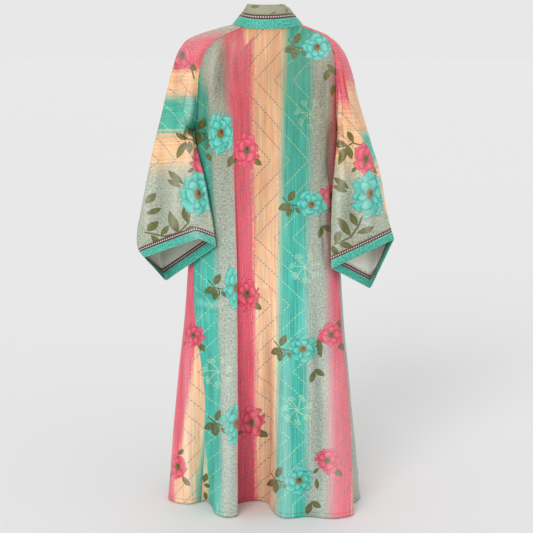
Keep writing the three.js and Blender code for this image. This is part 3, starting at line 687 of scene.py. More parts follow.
def wrinkle_heights(places, wrinkles):
    """Soft ridges and troughs, highest in the middle of their length."""
    heights = np.zeros(places.shape[:-1])
    for start, end, width, height in wrinkles:
        start = np.array(start, float)
        run = np.array(end, float) - start
        length = np.linalg.norm(run)
        offset = places - start
        along = (offset @ run) / length**2
        wander = WRINKLE_WANDER * width * np.sin(along * 5 + start[0])
        aside = (offset[..., 0] * run[1] - offset[..., 1] * run[0]) / length + wander
        ends = np.clip(np.minimum(along + 0.12, 1.12 - along) / 0.45, 0, 1)
        heights += WRINKLE_STRENGTH * height * np.exp(-((aside / width) ** 2)) * ends**2 * (3 - 2 * ends)
    return heights * UNIT


def facing(grid):
    """The outward direction at every point of a grid."""
    along = np.gradient(grid, axis=1)
    upward = np.gradient(grid, axis=0)
    normal = np.cross(along, upward)
    return normal / np.maximum(np.linalg.norm(normal, axis=-1, keepdims=True), 1e-9)


def from_edges(grid, ring=False):
    """How far every point is from the nearest cut edge, in metres."""
    along = lengths(grid)
    across = lengths(grid.swapaxes(0, 1)).T
    distance = np.minimum(along, along[-1:] - along)
    if ring:
        return distance
    return np.minimum(distance, np.minimum(across, across[:, -1:] - across))


def pressed(grid, places, wrinkles, outward=1):
    """The grid with its wrinkles, which die away at its seams, and a shallow dip beside each seam."""
    px, py = places[..., 0], places[..., 1]
    # fine creases everywhere: slow waves whose lines wander
    heights = wrinkle_heights(places, wrinkles) + FINE_CREASE * UNIT * (
        np.sin(px * 0.31 + 2 * np.sin(py * 0.021)) * np.sin(py * 0.043 + 1.3 * np.sin(px * 0.09))
        + 0.5 * np.sin(px * 0.67 + 1.7 * np.sin(py * 0.05) + 1) * np.sin(py * 0.11 + px * 0.04)
    )
    from_edge = from_edges(grid)
    fade = np.clip(from_edge / SEAM_FADE, 0, 1)
    beside = from_edge / SEAM_DIP_WIDTH
    heights = heights * fade**2 * (3 - 2 * fade) - SEAM_DIP * beside**2 * np.exp(2 - 2 * beside)
    return grid + facing(grid) * (outward * heights)[..., None]


# Meshes


def averaged(values, reach):
    """Every point's values averaged with those of its neighbours in the grid, both ways."""
    weights = np.hanning(2 * reach + 3)[1:-1]
    weights /= weights.sum()

    def along(line):
        return np.convolve(np.pad(line, reach, mode="edge"), weights, "valid")

    return np.apply_along_axis(along, 1, np.apply_along_axis(along, 0, values))


def fold_depth(grid, normal):
    """How far every point stands out of the cloth's general run, from -1 in a valley to 1 on a crest."""
    outward = ((grid - averaged(grid, FOLD_REACH)) * normal).sum(axis=-1)
    return np.clip(outward / DEEP_FOLD, -1, 1)


def build_mesh(name, outer, places, phases, outward=1, ring=False, split=None):
    """A thin closed wall under a grid of points, with its print laid out in two UV maps.

    phases are (colour, chevron) at every point. split is (column, phases from that column on).
    A ring's last column lies on its first.
    """
    rows, columns = outer.shape[:2]
    normal = facing(outer) * outward
    if ring:
        seam = normal[:, 0] + normal[:, -1]
        normal[:, 0] = normal[:, -1] = seam / np.linalg.norm(seam, axis=-1, keepdims=True)
        columns -= 1
    # how deep each point lies in its fold: the materials paint shade in the valleys and highlights on the
    # crests from it
    depth = fold_depth(outer, normal)[:, :columns].ravel()
    from_hem = lengths(outer)[:, :columns].ravel()
    from_seam = from_edges(outer, ring) / SEAM_TAPER
    thickness = settings().cloth_wall * np.clip(from_seam, THIN_EDGE, 1)
    # marks the inside, which the print is paled on, partly as painted light in the shade there
    reverse = np.clip(from_seam[:, :columns] - 1, 0, 1).ravel()
    inner = outer - averaged(normal, 2) * thickness[..., None]
    points = np.concatenate((outer[:, :columns], inner[:, :columns]))
    index = np.arange(2 * rows * columns).reshape(2, rows, columns)
    if ring:
        index = np.concatenate((index, index[:, :, :1]), axis=2)
    outside, inside = index

    def quads(a, b, c, d):
        faces = np.stack((a, b, c, d), axis=-1).reshape(-1, 4)
        return faces if outward > 0 else faces[:, ::-1]

    faces = [
        quads(outside[:-1, :-1], outside[:-1, 1:], outside[1:, 1:], outside[1:, :-1]),
        quads(inside[:-1, :-1], inside[1:, :-1], inside[1:, 1:], inside[:-1, 1:]),
        quads(outside[0, :-1], inside[0, :-1], inside[0, 1:], outside[0, 1:]),
        quads(outside[-1, :-1], outside[-1, 1:], inside[-1, 1:], inside[-1, :-1]),
    ]
    if not ring:
        faces.append(quads(outside[:-1, 0], outside[1:, 0], inside[1:, 0], inside[:-1, 0]))
        faces.append(quads(outside[:-1, -1], inside[:-1, -1], inside[1:, -1], outside[1:, -1]))
    faces = np.concatenate(faces)
    mesh = bpy.data.meshes.new(name)
    mesh.from_pydata(points.reshape(-1, 3).tolist(), [], faces.tolist())
    mesh.polygons.foreach_set("use_smooth", np.ones(len(faces), bool))
    corners = np.zeros(len(mesh.loops), np.int32)
    mesh.loops.foreach_get("vertex_index", corners)
    row, column = corners // columns % rows, corners % columns
    across = column.reshape(-1, 4)
    if ring:
        closing = np.repeat(np.ptp(across, axis=1) > 1, 4)
        column = np.where(closing & (column == 0), columns, column)
    banded = phases[row, column]
    if split:
        first, beyond = split
        chosen = np.repeat(across.min(axis=1) >= first, 4)
        banded = np.where(chosen[:, None], beyond[row, column], banded)
    mesh.uv_layers.new(name="print").data.foreach_set("uv", places[row, column].ravel())
    mesh.uv_layers.new(name="bands").data.foreach_set("uv", banded.ravel())
    for label, values in (
        ("reverse", np.concatenate((np.zeros_like(reverse), reverse))),
        ("fold", np.concatenate((depth, -depth))),
        ("from_hem", np.tile(from_hem, 2)),
    ):
        mesh.attributes.new(label, "FLOAT", "POINT").data.foreach_set("value", values)
    mesh.validate()
    return mesh


def add_piece(node, mesh, material):
    """Puts a finished mesh in the scene in place of its plain solid."""
    piece = bpy.data.objects.new("cloth_" + node, mesh)
    bpy.context.scene.collection.objects.link(piece)
    piece.data.materials.append(material)
    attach(piece, "root")
    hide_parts(node)


# Shader maths

RELIEF_DEPTH = 0.001
SHEEN = 0.06
SHEEN_ROUGHNESS = 0.4


class Wire:
    """A socket whose sums are written as ordinary expressions."""

    def __init__(self, paint, socket):
        self.paint = paint
        self.socket = socket

    def math(self, operation, *others):
        values = dict(enumerate((self, *others)))
        return self.paint.node("ShaderNodeMath", {"operation": operation}, values)

    def __add__(self, other):
        return self.math("ADD", other)

    def __radd__(self, other):
        return self.math("ADD", other)

    def __sub__(self, other):
        return self.math("SUBTRACT", other)

    def __rsub__(self, other):
        return self.paint.node("ShaderNodeMath", {"operation": "SUBTRACT"}, {0: other, 1: self})

    def __mul__(self, other):
        return self.math("MULTIPLY", other)

    def __rmul__(self, other):
        return self.math("MULTIPLY", other)

    def __truediv__(self, other):
        return self.math("DIVIDE", other)

    def __abs__(self):
        return self.math("ABSOLUTE")

    def __mod__(self, other):
        return self.math("FLOORED_MODULO", other)

    def __lt__(self, other):
        return self.math("LESS_THAN", other)

    def __gt__(self, other):
        return self.math("GREATER_THAN", other)

    def least(self, other):
        return self.math("MINIMUM", other)

    def most(self, other):
        return self.math("MAXIMUM", other)

    def sine(self):
        return self.math("SINE")

    def cosine(self):
        return self.math("COSINE")

    def to_and_fro(self):
        """Rises from 0 to 1 and falls back, again and again."""
        return self.math("PINGPONG", 1)

    def ramp_up(self, low, high):
        """0 below low, 1 above high and smooth between them."""
        inputs = {"Value": self, "From Min": low, "From Max": high}
        return self.paint.node("ShaderNodeMapRange", {"interpolation_type": "SMOOTHSTEP"}, inputs)

    def ramp_down(self, low, high):
        """1 below low, 0 above high and smooth between them."""
        inputs = {"Value": self, "From Min": low, "From Max": high, "To Min": 1, "To Max": 0}
        return self.paint.node("ShaderNodeMapRange", {"interpolation_type": "SMOOTHSTEP"}, inputs)


class Paint:
    """A material in the making: it makes the nodes and hands out their sockets."""

    def __init__(self, name):
        self.material = bpy.data.materials.new(name)
        self.material.use_nodes = True
        self.tree = self.material.node_tree
        self.shader = self.tree.nodes["Principled BSDF"]

    def node(self, kind, values=None, inputs=None, output=0):
        node = self.tree.nodes.new(kind)
        for name, value in (values or {}).items():
            if name == "stops":
                self.set_stops(node.color_ramp, value)
            else:
                setattr(node, name, value)
        for name, value in (inputs or {}).items():
            self.feed(node.inputs[name], value)
        return Wire(self, node.outputs[output])

    def feed(self, socket, value):
        if isinstance(value, Wire):
            self.tree.links.new(value.socket, socket)
        else:
            socket.default_value = value

    def set_stops(self, ramp, stops):
        while len(ramp.elements) < len(stops):
            ramp.elements.new(1)
        for element, (place, colour) in zip(ramp.elements, stops):
            element.position = place
            element.color = (*colour[:3], 1)

    def ramp(self, value, stops):
        return self.node("ShaderNodeValToRGB", {"stops": stops}, {"Fac": value})

    def vector(self, operation, *others):
        output = "Value" if operation in ("LENGTH", "DOT_PRODUCT") else "Vector"
        values = dict(enumerate(others))
        return self.node("ShaderNodeVectorMath", {"operation": operation}, values, output)

    def parts(self, vector):
        node = self.tree.nodes.new("ShaderNodeSeparateXYZ")
        self.feed(node.inputs[0], vector)
        return [Wire(self, output) for output in node.outputs]

    def mix(self, share, first, second, blend="MIX"):
        inputs = {"Factor": share, 6: as_colour(first), 7: as_colour(second)}
        settings = {"data_type": "RGBA", "blend_type": blend}
        return self.node("ShaderNodeMix", settings, inputs, output=2)

    def mix_vector(self, share, first, second):
        inputs = {"Factor": share, 4: first, 5: second}
        return self.node("ShaderNodeMix", {"data_type": "VECTOR"}, inputs, output=1)

    def scaled(self, colour, amount):
        """A colour made lighter or darker by an amount that varies."""
        grey = self.node("ShaderNodeCombineXYZ", None, {0: amount, 1: amount, 2: amount})
        return self.vector("MULTIPLY", colour, grey)

    def squeezed(self, offset, amount):
        """An offset whose second part is made smaller."""
        shares = self.node("ShaderNodeCombineXYZ", None, {0: 1.0, 1: amount, 2: 1.0})
        return self.vector("MULTIPLY", offset, shares)

    def noise(self, place, scale, detail, stretch=(1, 1, 1)):
        place = self.vector("MULTIPLY", place, stretch)
        inputs = {"Vector": place, "Scale": scale, "Detail": detail}
        return self.node("ShaderNodeTexNoise", None, inputs)

    def uv(self, name):
        return self.node("ShaderNodeUVMap", {"uv_map": name})

    def finish(self, colour, height, roughness, strength):
        """Joins the finished sums to the shader."""
        self.feed(self.shader.inputs["Base Color"], colour)
        self.feed(self.shader.inputs["Roughness"], roughness)
        inputs = {"Height": height, "Strength": strength, "Distance": RELIEF_DEPTH}
        self.feed(self.shader.inputs["Normal"], self.node("ShaderNodeBump", None, inputs))
        self.shader.inputs["Sheen Weight"].default_value = SHEEN
        self.shader.inputs["Sheen Roughness"].default_value = SHEEN_ROUGHNESS
        self.shader.inputs["Specular IOR Level"].default_value = 0.5
        return self.material


def as_colour(value):
    return value if isinstance(value, Wire) else (*value[:3], 1)


def tint(red, green, blue):
    """A colour of everyday 0 to 255 values, as the linear light that the shader works in."""
    shares = [value / 255 for value in (red, green, blue)]
    return tuple(((v + 0.055) / 1.055) ** 2.4 if v > 0.04045 else v / 12.92 for v in shares)


# The print's motifs


def nearest(paint, place, centres):
    """The way to each place from the nearest of some centres."""
    chosen = paint.vector("SUBTRACT", place, (*centres[0], 0))
    best = paint.vector("LENGTH", chosen)
    for centre in centres[1:]:
        offset = paint.vector("SUBTRACT", place, (*centre, 0))
        distance = paint.vector("LENGTH", offset)
        chosen = paint.mix_vector(distance < best, chosen, offset)
        best = best.least(distance)
    return chosen


def leaves(paint, place, rows):
    """How far inside the nearest leaf a place is; each leaf runs from a tip to a tip."""
    deepest = None
    for start, end, half_width in rows:
        start, end = np.array(start, float), np.array(end, float)
        run = end - start
        half_length = np.linalg.norm(run) / 2
        ahead = run / (2 * half_length)
        offset = paint.vector("SUBTRACT", place, (*((start + end) / 2), 0))
        along = paint.vector("DOT_PRODUCT", offset, (*(ahead / half_length), 0))
        aside = paint.vector("DOT_PRODUCT", offset, (-ahead[1], ahead[0], 0))
        inside = half_width - along * along * half_width - abs(aside)
        deepest = inside if deepest is None else deepest.most(inside)
    return deepest


def strokes(paint, place, lines, half_width):
    """How far inside the nearest thin stem a place is."""
    deepest = None
    for line in lines:
        for start, end in zip(line[:-1], line[1:]):
            start, end = np.array(start, float), np.array(end, float)
            run = end - start
            length = np.linalg.norm(run)
            offset = paint.vector("SUBTRACT", place, (*((start + end) / 2), 0))
            along = paint.vector("DOT_PRODUCT", offset, (*(run / length), 0))
            aside = paint.vector("DOT_PRODUCT", offset, (-run[1] / length, run[0] / length, 0))
            inside = (length / 2 + half_width - abs(along)).least(half_width - abs(aside))
            deepest = inside if deepest is None else deepest.most(inside)
    return deepest


def flower(paint, offset, place, radius, petals, dyes):
    """A loose flower of two layers of scalloped petals: its mask and its colours."""
    light, plain, dark, heart = dyes
    unevenness = paint.noise(place, 0.09, 1.5) - 0.5
    x, y, _ = paint.parts(offset)
    turn = y.math("ARCTAN2", x) + unevenness * 2.2
    away = paint.vector("LENGTH", offset) / radius * (1 + unevenness * 0.7)
    wave = (turn * petals).cosine()
    edge = 0.73 + abs((turn * (petals / 2)).cosine()) * 0.2 + (turn * (3 * petals)).cosine() * 0.02
    inner = (turn * (petals - 2) + 1.1).cosine()
    inner_edge = 0.46 + abs((turn * (petals / 2 - 1) + 0.55).cosine()) * 0.17
    rim = abs(away - edge + 0.02).ramp_down(0.01, 0.06)
    inner_rim = abs(away - inner_edge).ramp_down(0.005, 0.05)
    gaps = wave.ramp_down(-0.99, -0.84) * away.ramp_up(0.5, 0.66)
    inner_gaps = inner.ramp_down(-0.98, -0.8) * away.ramp_up(0.16, 0.3) * away.ramp_down(0.46, 0.56)
    lines = rim.most(inner_rim).most(gaps).most(inner_gaps)
    layer = away.ramp_up(0.54, 0.6)
    bulge = wave * layer + inner * (1 - layer)
    rise = away.ramp_up(0.2, 0.5) * (1 - layer) + away.ramp_up(0.58, 0.92) * layer
    veins = (turn * 34).sine() * 0.12
    glow = (bulge * 0.35 + rise * 0.5 + veins).ramp_up(-0.1, 1.1)
    petal = paint.mix(glow, plain, light)
    petal = paint.mix(away.ramp_down(0.15, 0.45) * 0.35, petal, dark)
    petal = paint.mix(lines * 0.7, petal, dark)
    petal = paint.mix(away.ramp_down(0.19, 0.24), petal, heart)
    pip = paint.vector("LENGTH", paint.vector("SUBTRACT", offset, (0.6, -0.8, 0))) / radius
    petal = paint.mix(pip.ramp_down(0.06, 0.12), petal, HEART_DARK)
    return (away - edge).ramp_down(-0.02, 0.02), petal


def star(paint, offset, radius):
    """Seven fine bent rays, each ending in a round curl."""
    x, y, _ = paint.parts(offset)
    away = paint.vector("LENGTH", offset)
    turn = y.math("ARCTAN2", x) + away * (STAR_BEND / radius)
    part = 2 * math.pi / STAR_RAYS
    from_ray = ((turn + part / 2) % part - part / 2) * away
    ray = abs(from_ray).ramp_down(0.15, 0.6) * away.ramp_down(0.84 * radius, 0.88 * radius)
    curl_x = away - 0.8 * radius
    curl_y = from_ray - CURL_RADIUS
    from_curl = (curl_x * curl_x + curl_y * curl_y).math("SQRT")
    curl = abs(from_curl - CURL_RADIUS).ramp_down(0.15, 0.6)
    inner_curl = abs(from_curl - INNER_CURL_RADIUS).ramp_down(0.1, 0.5)
    return ray.most(curl).most(inner_curl)


# Colours that the print is dyed in, and where on the print its motifs lie

OLIVE = tint(104, 104, 18)
DARK_OLIVE = tint(42, 40, 8)
HEART_DARK = tint(66, 40, 16)
# A flower's petal tips, petals, outlines and heart
TEAL_PETALS = (tint(104, 206, 188), tint(66, 184, 168), tint(16, 108, 106), tint(122, 96, 20))
PINK_PETALS = (tint(230, 98, 122), tint(212, 62, 92), tint(150, 20, 52), tint(80, 88, 28))
STAR_PALE = tint(196, 226, 176)
STITCH_GREY = tint(92, 110, 128)
STITCH_PALE = tint(196, 214, 150)
# how far the inside is paled: a print's paler back, and painted light in the shade inside the robe
REVERSE_PALER_AND_PAINTED_LIGHT = 0.55
# painted shade and painted light: the body's print is multiplied by the first at the shoulders, going over
# to the second towards the hem
PAINTED_SHOULDER_SHADE = (0.75, 0.68, 0.64)
PAINTED_HEM_LIGHT = (1.03, 1.08, 1.2)
BRAID_STEP = 2.4
ZIGZAG_START = 236.3
ZIGZAG_SWING = 72
ZIGZAG_STEP = 18.9
ZIGZAG_SLANT = 0.72  # turns a distance across into one square to the slanting line
STITCH_STEP = 2.6
STAR_RADIUS = 16
STAR_RAYS = 7
STAR_BEND = 0.55
CURL_RADIUS = 2.4
INNER_CURL_RADIUS = 0.9
PINK_RADIUS = 13.5
PINK_PETAL_COUNT = 7
BODY_TEAL_RADIUS = 16
SLEEVE_TEAL_RADIUS = 18.5
TEAL_PETAL_COUNT = 8
SLEEVE_SQUEEZE = 0.72  # the sleeves' flowers are taller than wide, and so are those beside the lap
BESIDE_LAP_SQUEEZE = 0.3
# The leaf band's repeat along it, counted from the middle of the back, and the leaves in it
BAND_REPEAT = 47.0
BAND_LEAVES = (
    ((30, 7.4), (40.5, 8.2), 1.9), ((11, 9.8), (18, 9.2), 1),
    ((19, 1.5), (25, 6), 1.7), ((3, 0.8), (9, 2.6), 1.1),
)
BAND_SCALE = 10  # print units across the band in that repeat

# A teal flower and the sprigs round it, from the flower's centre
TEAL_GROUP_LEAVES = (
    ((-23, -3), (-16.8, -14), 3.4),
    ((-21.7, 0), (-33, 4.6), 3.7),
    ((-21.7, 0.5), (-23.4, 12.6), 3.2),
    ((12, 22), (7.5, 34), 3.2),
    ((12, 21), (22, 27), 3),
    ((17, -2), (18.5, 9), 2),
    ((-16, 3), (-11, 9), 1.8),
)
TEAL_GROUP_STEMS = (((-28.6, -7.4), (-22.5, -0.5), (-14, 1.6)), ((-19, 0.6), (-17.4, 4.6), (-18.6, 7.4)))
TEAL_FLOWERS = (
    # right column, left column, left side and front, right side and front
    (317, 47), (311.4, 204.5), (303, 349), (299, 480.6),
    (221, 133), (237, 288), (237, 424),
    (130, 62), (126, 204.5), (122, 349), (118, 478), (84, 130), (80, 288), (74, 424), (160, 130),
    (398, 130), (402, 288), (408, 424), (440, 60), (444, 204.5), (450, 349), (456, 480),
)
PINK_GROUP_LEAVES = (((5.4, 7.6), (14.6, 15.4), 3), ((-9, 8), (-14.5, 13), 1.7))
PINK_FLOWERS = (
    (247, 150), (247, 294), (252, 422), (331, 335), (327.5, 460.7), (192, 336), (175, 468),
    (106, 150), (104, 294), (98, 434), (150, 262), (146, 404),
    (331, 196), (380, 352), (384, 468), (424, 140), (428, 288), (434, 424),
)
STARS = (
    (310, 114), (305, 267.6), (297.3, 410), (217, 372), (60, 200), (58, 360), (118, 272),
    (402, 210), (410, 360),
)
LOOSE_LEAVES = (
    ((324, 337), (317.5, 345), 2.5), ((322, 344), (319, 356), 2.6), ((337, 331), (339, 320), 2.6),
    ((203.9, 482.5), (206.8, 473.2), 2.6), ((204, 484), (210.2, 487.2), 2),
    ((204.7, 491.8), (206.4, 500.2), 2),
    ((206, 150), (212, 136), 2.4), ((206.5, 152.9), (211.6, 160.9), 2.4), ((334, 84), (332, 96), 2.6),
    ((334, 70), (327, 64), 2.2), ((174.8, 456.4), (184.5, 450), 2.2),
)

LEFT_SLEEVE_FLOWERS = ((198, 194), (112, 168), (100, 96))
LEFT_SLEEVE_PINKS = ((182, 55), (203, 160), (124, 120), (96, 214))
LEFT_SLEEVE_LEAVES = (
    ((187.6, 139.7), (174.5, 132.9), 2.8), ((196.2, 140.9), (188.8, 127.7), 4.4),
    ((184.8, 142), (177.4, 158.6), 3.6), ((188.2, 142), (189.4, 155.1), 2.6),
    ((184.2, 184.3), (168.2, 170.6), 3.2), ((181.9, 187.1), (167.6, 179.7), 2.6),
    ((147.6, 231), (157.9, 221.4), 3.8), ((151, 235), (162.5, 248.3), 3.2),
    ((160.8, 235), (170, 225.4), 2.8), ((164.2, 236.9), (179, 242), 3),
    ((177.9, 232.9), (170, 210.6), 4.6), ((188.2, 223), (183.6, 207), 3.6),
    ((185.4, 229.4), (196.8, 227.7), 2.6), ((147, 204), (154.5, 192.9), 3),
    ((147.6, 214), (160.2, 208.3), 2.8),
    ((128, 196), (118, 210), 3.4), ((124, 214), (134, 226), 3.2), ((108, 222), (98, 236), 3.4),
    ((134, 150), (126, 140), 3), ((104, 130), (96, 142), 3),
)
LEFT_SLEEVE_STEMS = (
    ((187.6, 140.3), (202.5, 145.4)),
    ((145.4, 232.3), (164.8, 236.3), (178.5, 232.9), (188.8, 222.6), (191, 212.3)),
    ((190, 62), (194, 78)),
)
RIGHT_SLEEVE_FLOWERS = ((369, 194), (420, 176), (436, 96))
RIGHT_SLEEVE_PINKS = ((366, 159), (408, 124), (446, 150))
RIGHT_SLEEVE_LEAVES = (
    ((353.5, 142.1), (346.6, 131.3), 3), ((346.6, 145), (334.6, 144.4), 4),
    ((347.2, 145.6), (351.7, 159.3), 3.2), ((346, 147.3), (338.6, 165), 3.6),
    ((348.9, 188.4), (333.5, 177.6), 3.2), ((347.2, 191.9), (332.9, 185.6), 2.8),
    ((351.2, 236.4), (337.5, 217), 4), ((357.5, 226.1), (350.6, 213), 3.2),
    ((357.5, 233), (374, 226.7), 3.2), ((335.2, 242.7), (339.7, 230.7), 3.4),
    ((338.6, 243.9), (352.3, 246.1), 3), ((331.7, 245.6), (338, 255.9), 3),
    ((392, 226), (404, 214), 3.4), ((398, 200), (408, 192), 3), ((412, 232), (424, 240), 3.2),
    ((430, 150), (438, 138), 3.2), ((446, 180), (436, 192), 3.2),
)
RIGHT_SLEEVE_STEMS = (
    ((346, 146.7), (352.3, 142.7), (362.6, 145.6)),
    ((334.6, 243.9), (351.2, 237.6), (358, 227.3), (361.5, 217)),
)

BODY_COLOURS = 4
# The colours down each sleeve, and how far down the print each of them ends, from a first one on
LEFT_ORDER = ("grey", "pink", "cream", "teal", "cream", "grey")
RIGHT_ORDER = ("pink", "cream", "grey", "grey", "pink", "cream", "teal", "cream", "grey")
LEFT_SLEEVE_BANDS = (0, (-30, 36, 71, 96, 135, 165, 265))
RIGHT_BACK_BANDS = (0, (40, 109, 166, 290))
RIGHT_FRONT_BANDS = (4, (30, 86, 134, 166, 216, 300))


# Materials


def body_stops(dyes):
    """The order of colours across the body, with how softly each runs into the next."""
    pink, cream, teal, grey = dyes.pink, dyes.cream, dyes.teal, dyes.grey
    blush = mean(pink, grey, 0.45)
    lime = mean(teal, cream, 0.5)
    return (
        (0, blush), (0.045, pink), (0.2, pink), (0.255, cream), (0.455, cream), (0.5, lime),
        (0.535, teal), (0.715, teal), (0.785, grey), (0.93, grey), (1, blush),
    )


def sleeve_stops(dyes, order):
    """The colours down a sleeve: each keeps its own part, with a soft change to the next."""
    stops = []
    for k, name in enumerate(order):
        stops.append(((k + 0.15) / len(order), getattr(dyes, name)))
        stops.append(((k + 0.82) / len(order), getattr(dyes, name)))
    return stops


def mean(first, second, share):
    return tuple(a * (1 - share) + b * share for a, b in zip(first[:3], second[:3]))


def speck_amounts(stops, dyes):
    """How speckled, streaked and stitched each colour is, in the same places as the colours."""
    amounts = {
        tuple(dyes.pink[:3]): (0.5, 0.3, 0.9),
        tuple(dyes.cream[:3]): (0.16, 0.9, 1),
        tuple(dyes.teal[:3]): (0.22, 0.9, 0.75),
        tuple(dyes.grey[:3]): (1, 0.2, 0.12),
    }
    return [(place, amounts.get(tuple(colour[:3]), (0.5, 0.5, 0.4))) for place, colour in stops]


def thread_colours(stops, dyes):
    """The running stitch's colour, in the same places as the colours: paler on teal."""
    teal = tuple(dyes.teal[:3])
    return [(place, STITCH_PALE if tuple(colour[:3]) == teal else STITCH_GREY) for place, colour in stops]


def print_material(name, flowers, pinks, loose, order=None, stems=None):
    """Printed cloth: dyed bands, running stitch, flowers, sprigs and stars on a fine weave.

    order names the colours down a sleeve; the body's print has none.
    """
    dyes = settings()
    body = order is None
    stops = body_stops(dyes) if body else sleeve_stops(dyes, order)
    paint = Paint(name)
    place = paint.uv("print")
    x, y, _ = paint.parts(place)
    phase, chevron, _ = paint.parts(paint.uv("bands"))
    streak = paint.noise(place, 1, 3, (0.5, 0.012, 1) if body else (0.02, 0.42, 1))
    fine_streak = paint.noise(place, 1, 2, (1.3, 0.02, 1) if body else (0.035, 1.2, 1))
    grain = paint.noise(place, 0.46, 3)
    dust = paint.noise(place, 1.2, 2)
    worn = paint.noise(place, 0.035, 3)
    wander = (streak - 0.5) * 0.35 + (grain - 0.5) * 0.18
    if body:
        share = ((phase + wander) % BODY_COLOURS) / BODY_COLOURS
    else:
        share = (phase + wander) / len(order)
    ground = paint.ramp(share, stops)
    specks, streaks, stitched = paint.parts(paint.ramp(share, speck_amounts(stops, dyes)))
    threads = paint.ramp(share, thread_colours(stops, dyes))

    light = (streak - 0.5) * streaks * 1.1 + (fine_streak - 0.5) * streaks * 1.5
    light = light + (grain - 0.5) * specks * 1.5 + (dust - 0.5) * specks * 2.2 + (worn - 0.5) * 0.3
    ground = paint.scaled(ground, light + 1.0)
    warm = fine_streak.ramp_up(0.46, 0.57) * streaks * stitched.ramp_up(0.8, 0.9) * 0.7
    ground = paint.mix(warm, ground, tint(228, 140, 96))

    # running stitch in zigzags
    far = (chevron + 8).to_and_fro()
    aside = (x - ZIGZAG_START - far * ZIGZAG_SWING) % ZIGZAG_STEP
    from_line = aside.least(ZIGZAG_STEP - aside) * ZIGZAG_SLANT
    dash = (y % STITCH_STEP).ramp_down(1.5, 1.9)
    stitch = from_line.ramp_down(0.25, 0.7) * dash * stitched
    colour = paint.mix(stitch * 0.8, ground, threads)

    from_teal = nearest(paint, place, flowers)
    from_pink = nearest(paint, place, pinks)
    if body:
        rays = star(paint, nearest(paint, place, STARS), STAR_RADIUS)
        colour = paint.mix(rays * 0.5, colour, STAR_PALE)
        # painted shade darkens the cloth at the shoulders, and painted light brightens and cools it towards
        # the hem
        depth = paint.mix(y.ramp_up(60, 330), PAINTED_SHOULDER_SHADE, PAINTED_HEM_LIGHT)
        colour = paint.mix(1.0, colour, depth, "MULTIPLY")
    teal_shows, pink_shows = 1.0, 1.0
    green = leaves(paint, from_pink, PINK_GROUP_LEAVES)
    if body:
        # the lap hides the teal flowers' right sides and lies over the pink ones' left sides
        over_lap = phase > OVER_LAP / 2
        by_lap = (x > 205) * (x < 264)
        teal_shows = 1 - by_lap * over_lap
        pink_shows = 1 - by_lap * (1 - over_lap)
        green = green * pink_shows - (1 - pink_shows)
        sprigs = leaves(paint, from_teal, TEAL_GROUP_LEAVES)
        sprigs = sprigs.most(strokes(paint, from_teal, TEAL_GROUP_STEMS, 0.5))
        green = green.most(sprigs * teal_shows - (1 - teal_shows))
    green = green.most(leaves(paint, place, loose))
    if stems:
        green = green.most(strokes(paint, place, stems, 0.7))
    green = green * 1.15 + (dust - 0.5) * 0.5 + 0.15
    leaf_dye = paint.mix(grain.ramp_up(0.35, 0.65) * 0.6, OLIVE, DARK_OLIVE)
    leaf_dye = paint.mix(green.ramp_down(0.1, 0.75) * 0.7, leaf_dye, DARK_OLIVE)
    colour = paint.mix(green.ramp_up(-0.15, 0.25) * 0.93, colour, leaf_dye)

    squeeze = SLEEVE_SQUEEZE
    if body:
        squeeze = 1 - x.ramp_down(262, 266) * x.ramp_up(202, 206) * BESIDE_LAP_SQUEEZE
    from_pink, from_teal = (paint.squeezed(offset, squeeze) for offset in (from_pink, from_teal))
    mask, petals = flower(paint, from_pink, place, PINK_RADIUS, PINK_PETAL_COUNT, PINK_PETALS)
    colour = paint.mix(mask * pink_shows * 0.94, colour, petals)
    radius = BODY_TEAL_RADIUS if body else SLEEVE_TEAL_RADIUS
    mask, petals = flower(paint, from_teal, place, radius, TEAL_PETAL_COUNT, TEAL_PETALS)
    colour = paint.mix(mask * teal_shows * 0.96, colour, petals)
    return finish_cloth(paint, colour, place, stitch, hemmed=body, paler=REVERSE_PALER_AND_PAINTED_LIGHT)


def finish_cloth(paint, colour, place, raised, hemmed=False, paler=0.0):
    """What every cloth here has: painted shade in the folds' valleys, a painted highlight on their crests,
    the weave and the sheen.

    A hemmed cloth has a stitched line too, and a paler share lightens its reverse, both as a print's paler
    back and as painted light in the shade inside the robe.
    """
    fold = paint.node("ShaderNodeAttribute", {"attribute_name": "fold"}, output=2)
    # painted shade: the cloth is darkened in the valleys of its folds, by the fold attribute
    colour = paint.scaled(colour, 1 + fold.least(0) * settings().painted_fold_shade)
    # painted highlight: the cloth is paled towards warm white on the crests of its folds
    colour = paint.mix(fold.most(0) * settings().painted_crest_highlight, colour, (1, 0.97, 0.93))
    if hemmed:
        from_hem = paint.node("ShaderNodeAttribute", {"attribute_name": "from_hem"}, output=2)
        line = abs(from_hem - HEM_DEPTH).ramp_down(0.0004, 0.0014)
        colour = paint.mix(line * 0.45, colour, tint(70, 66, 60))
        raised = raised.most(line)
    # the inside is paler as a print's back is, and lighter still as painted light in its shade
    if paler:
        reverse = paint.node("ShaderNodeAttribute", {"attribute_name": "reverse"}, output=2)
        colour = paint.mix(reverse * paler, colour, tint(250, 248, 238))
    threads = paint.noise(place, 1, 2, (5.5, 0.5, 1)) + paint.noise(place, 1, 2, (0.5, 5.5, 1))
    puckers = paint.noise(place, 0.16, 3, (1, 0.6, 1))
    height = threads * 0.2 + puckers * 1.4 - raised * 0.5
    roughness = 0.42 + threads * 0.14
    return paint.finish(colour, height, roughness, settings().weave_relief)


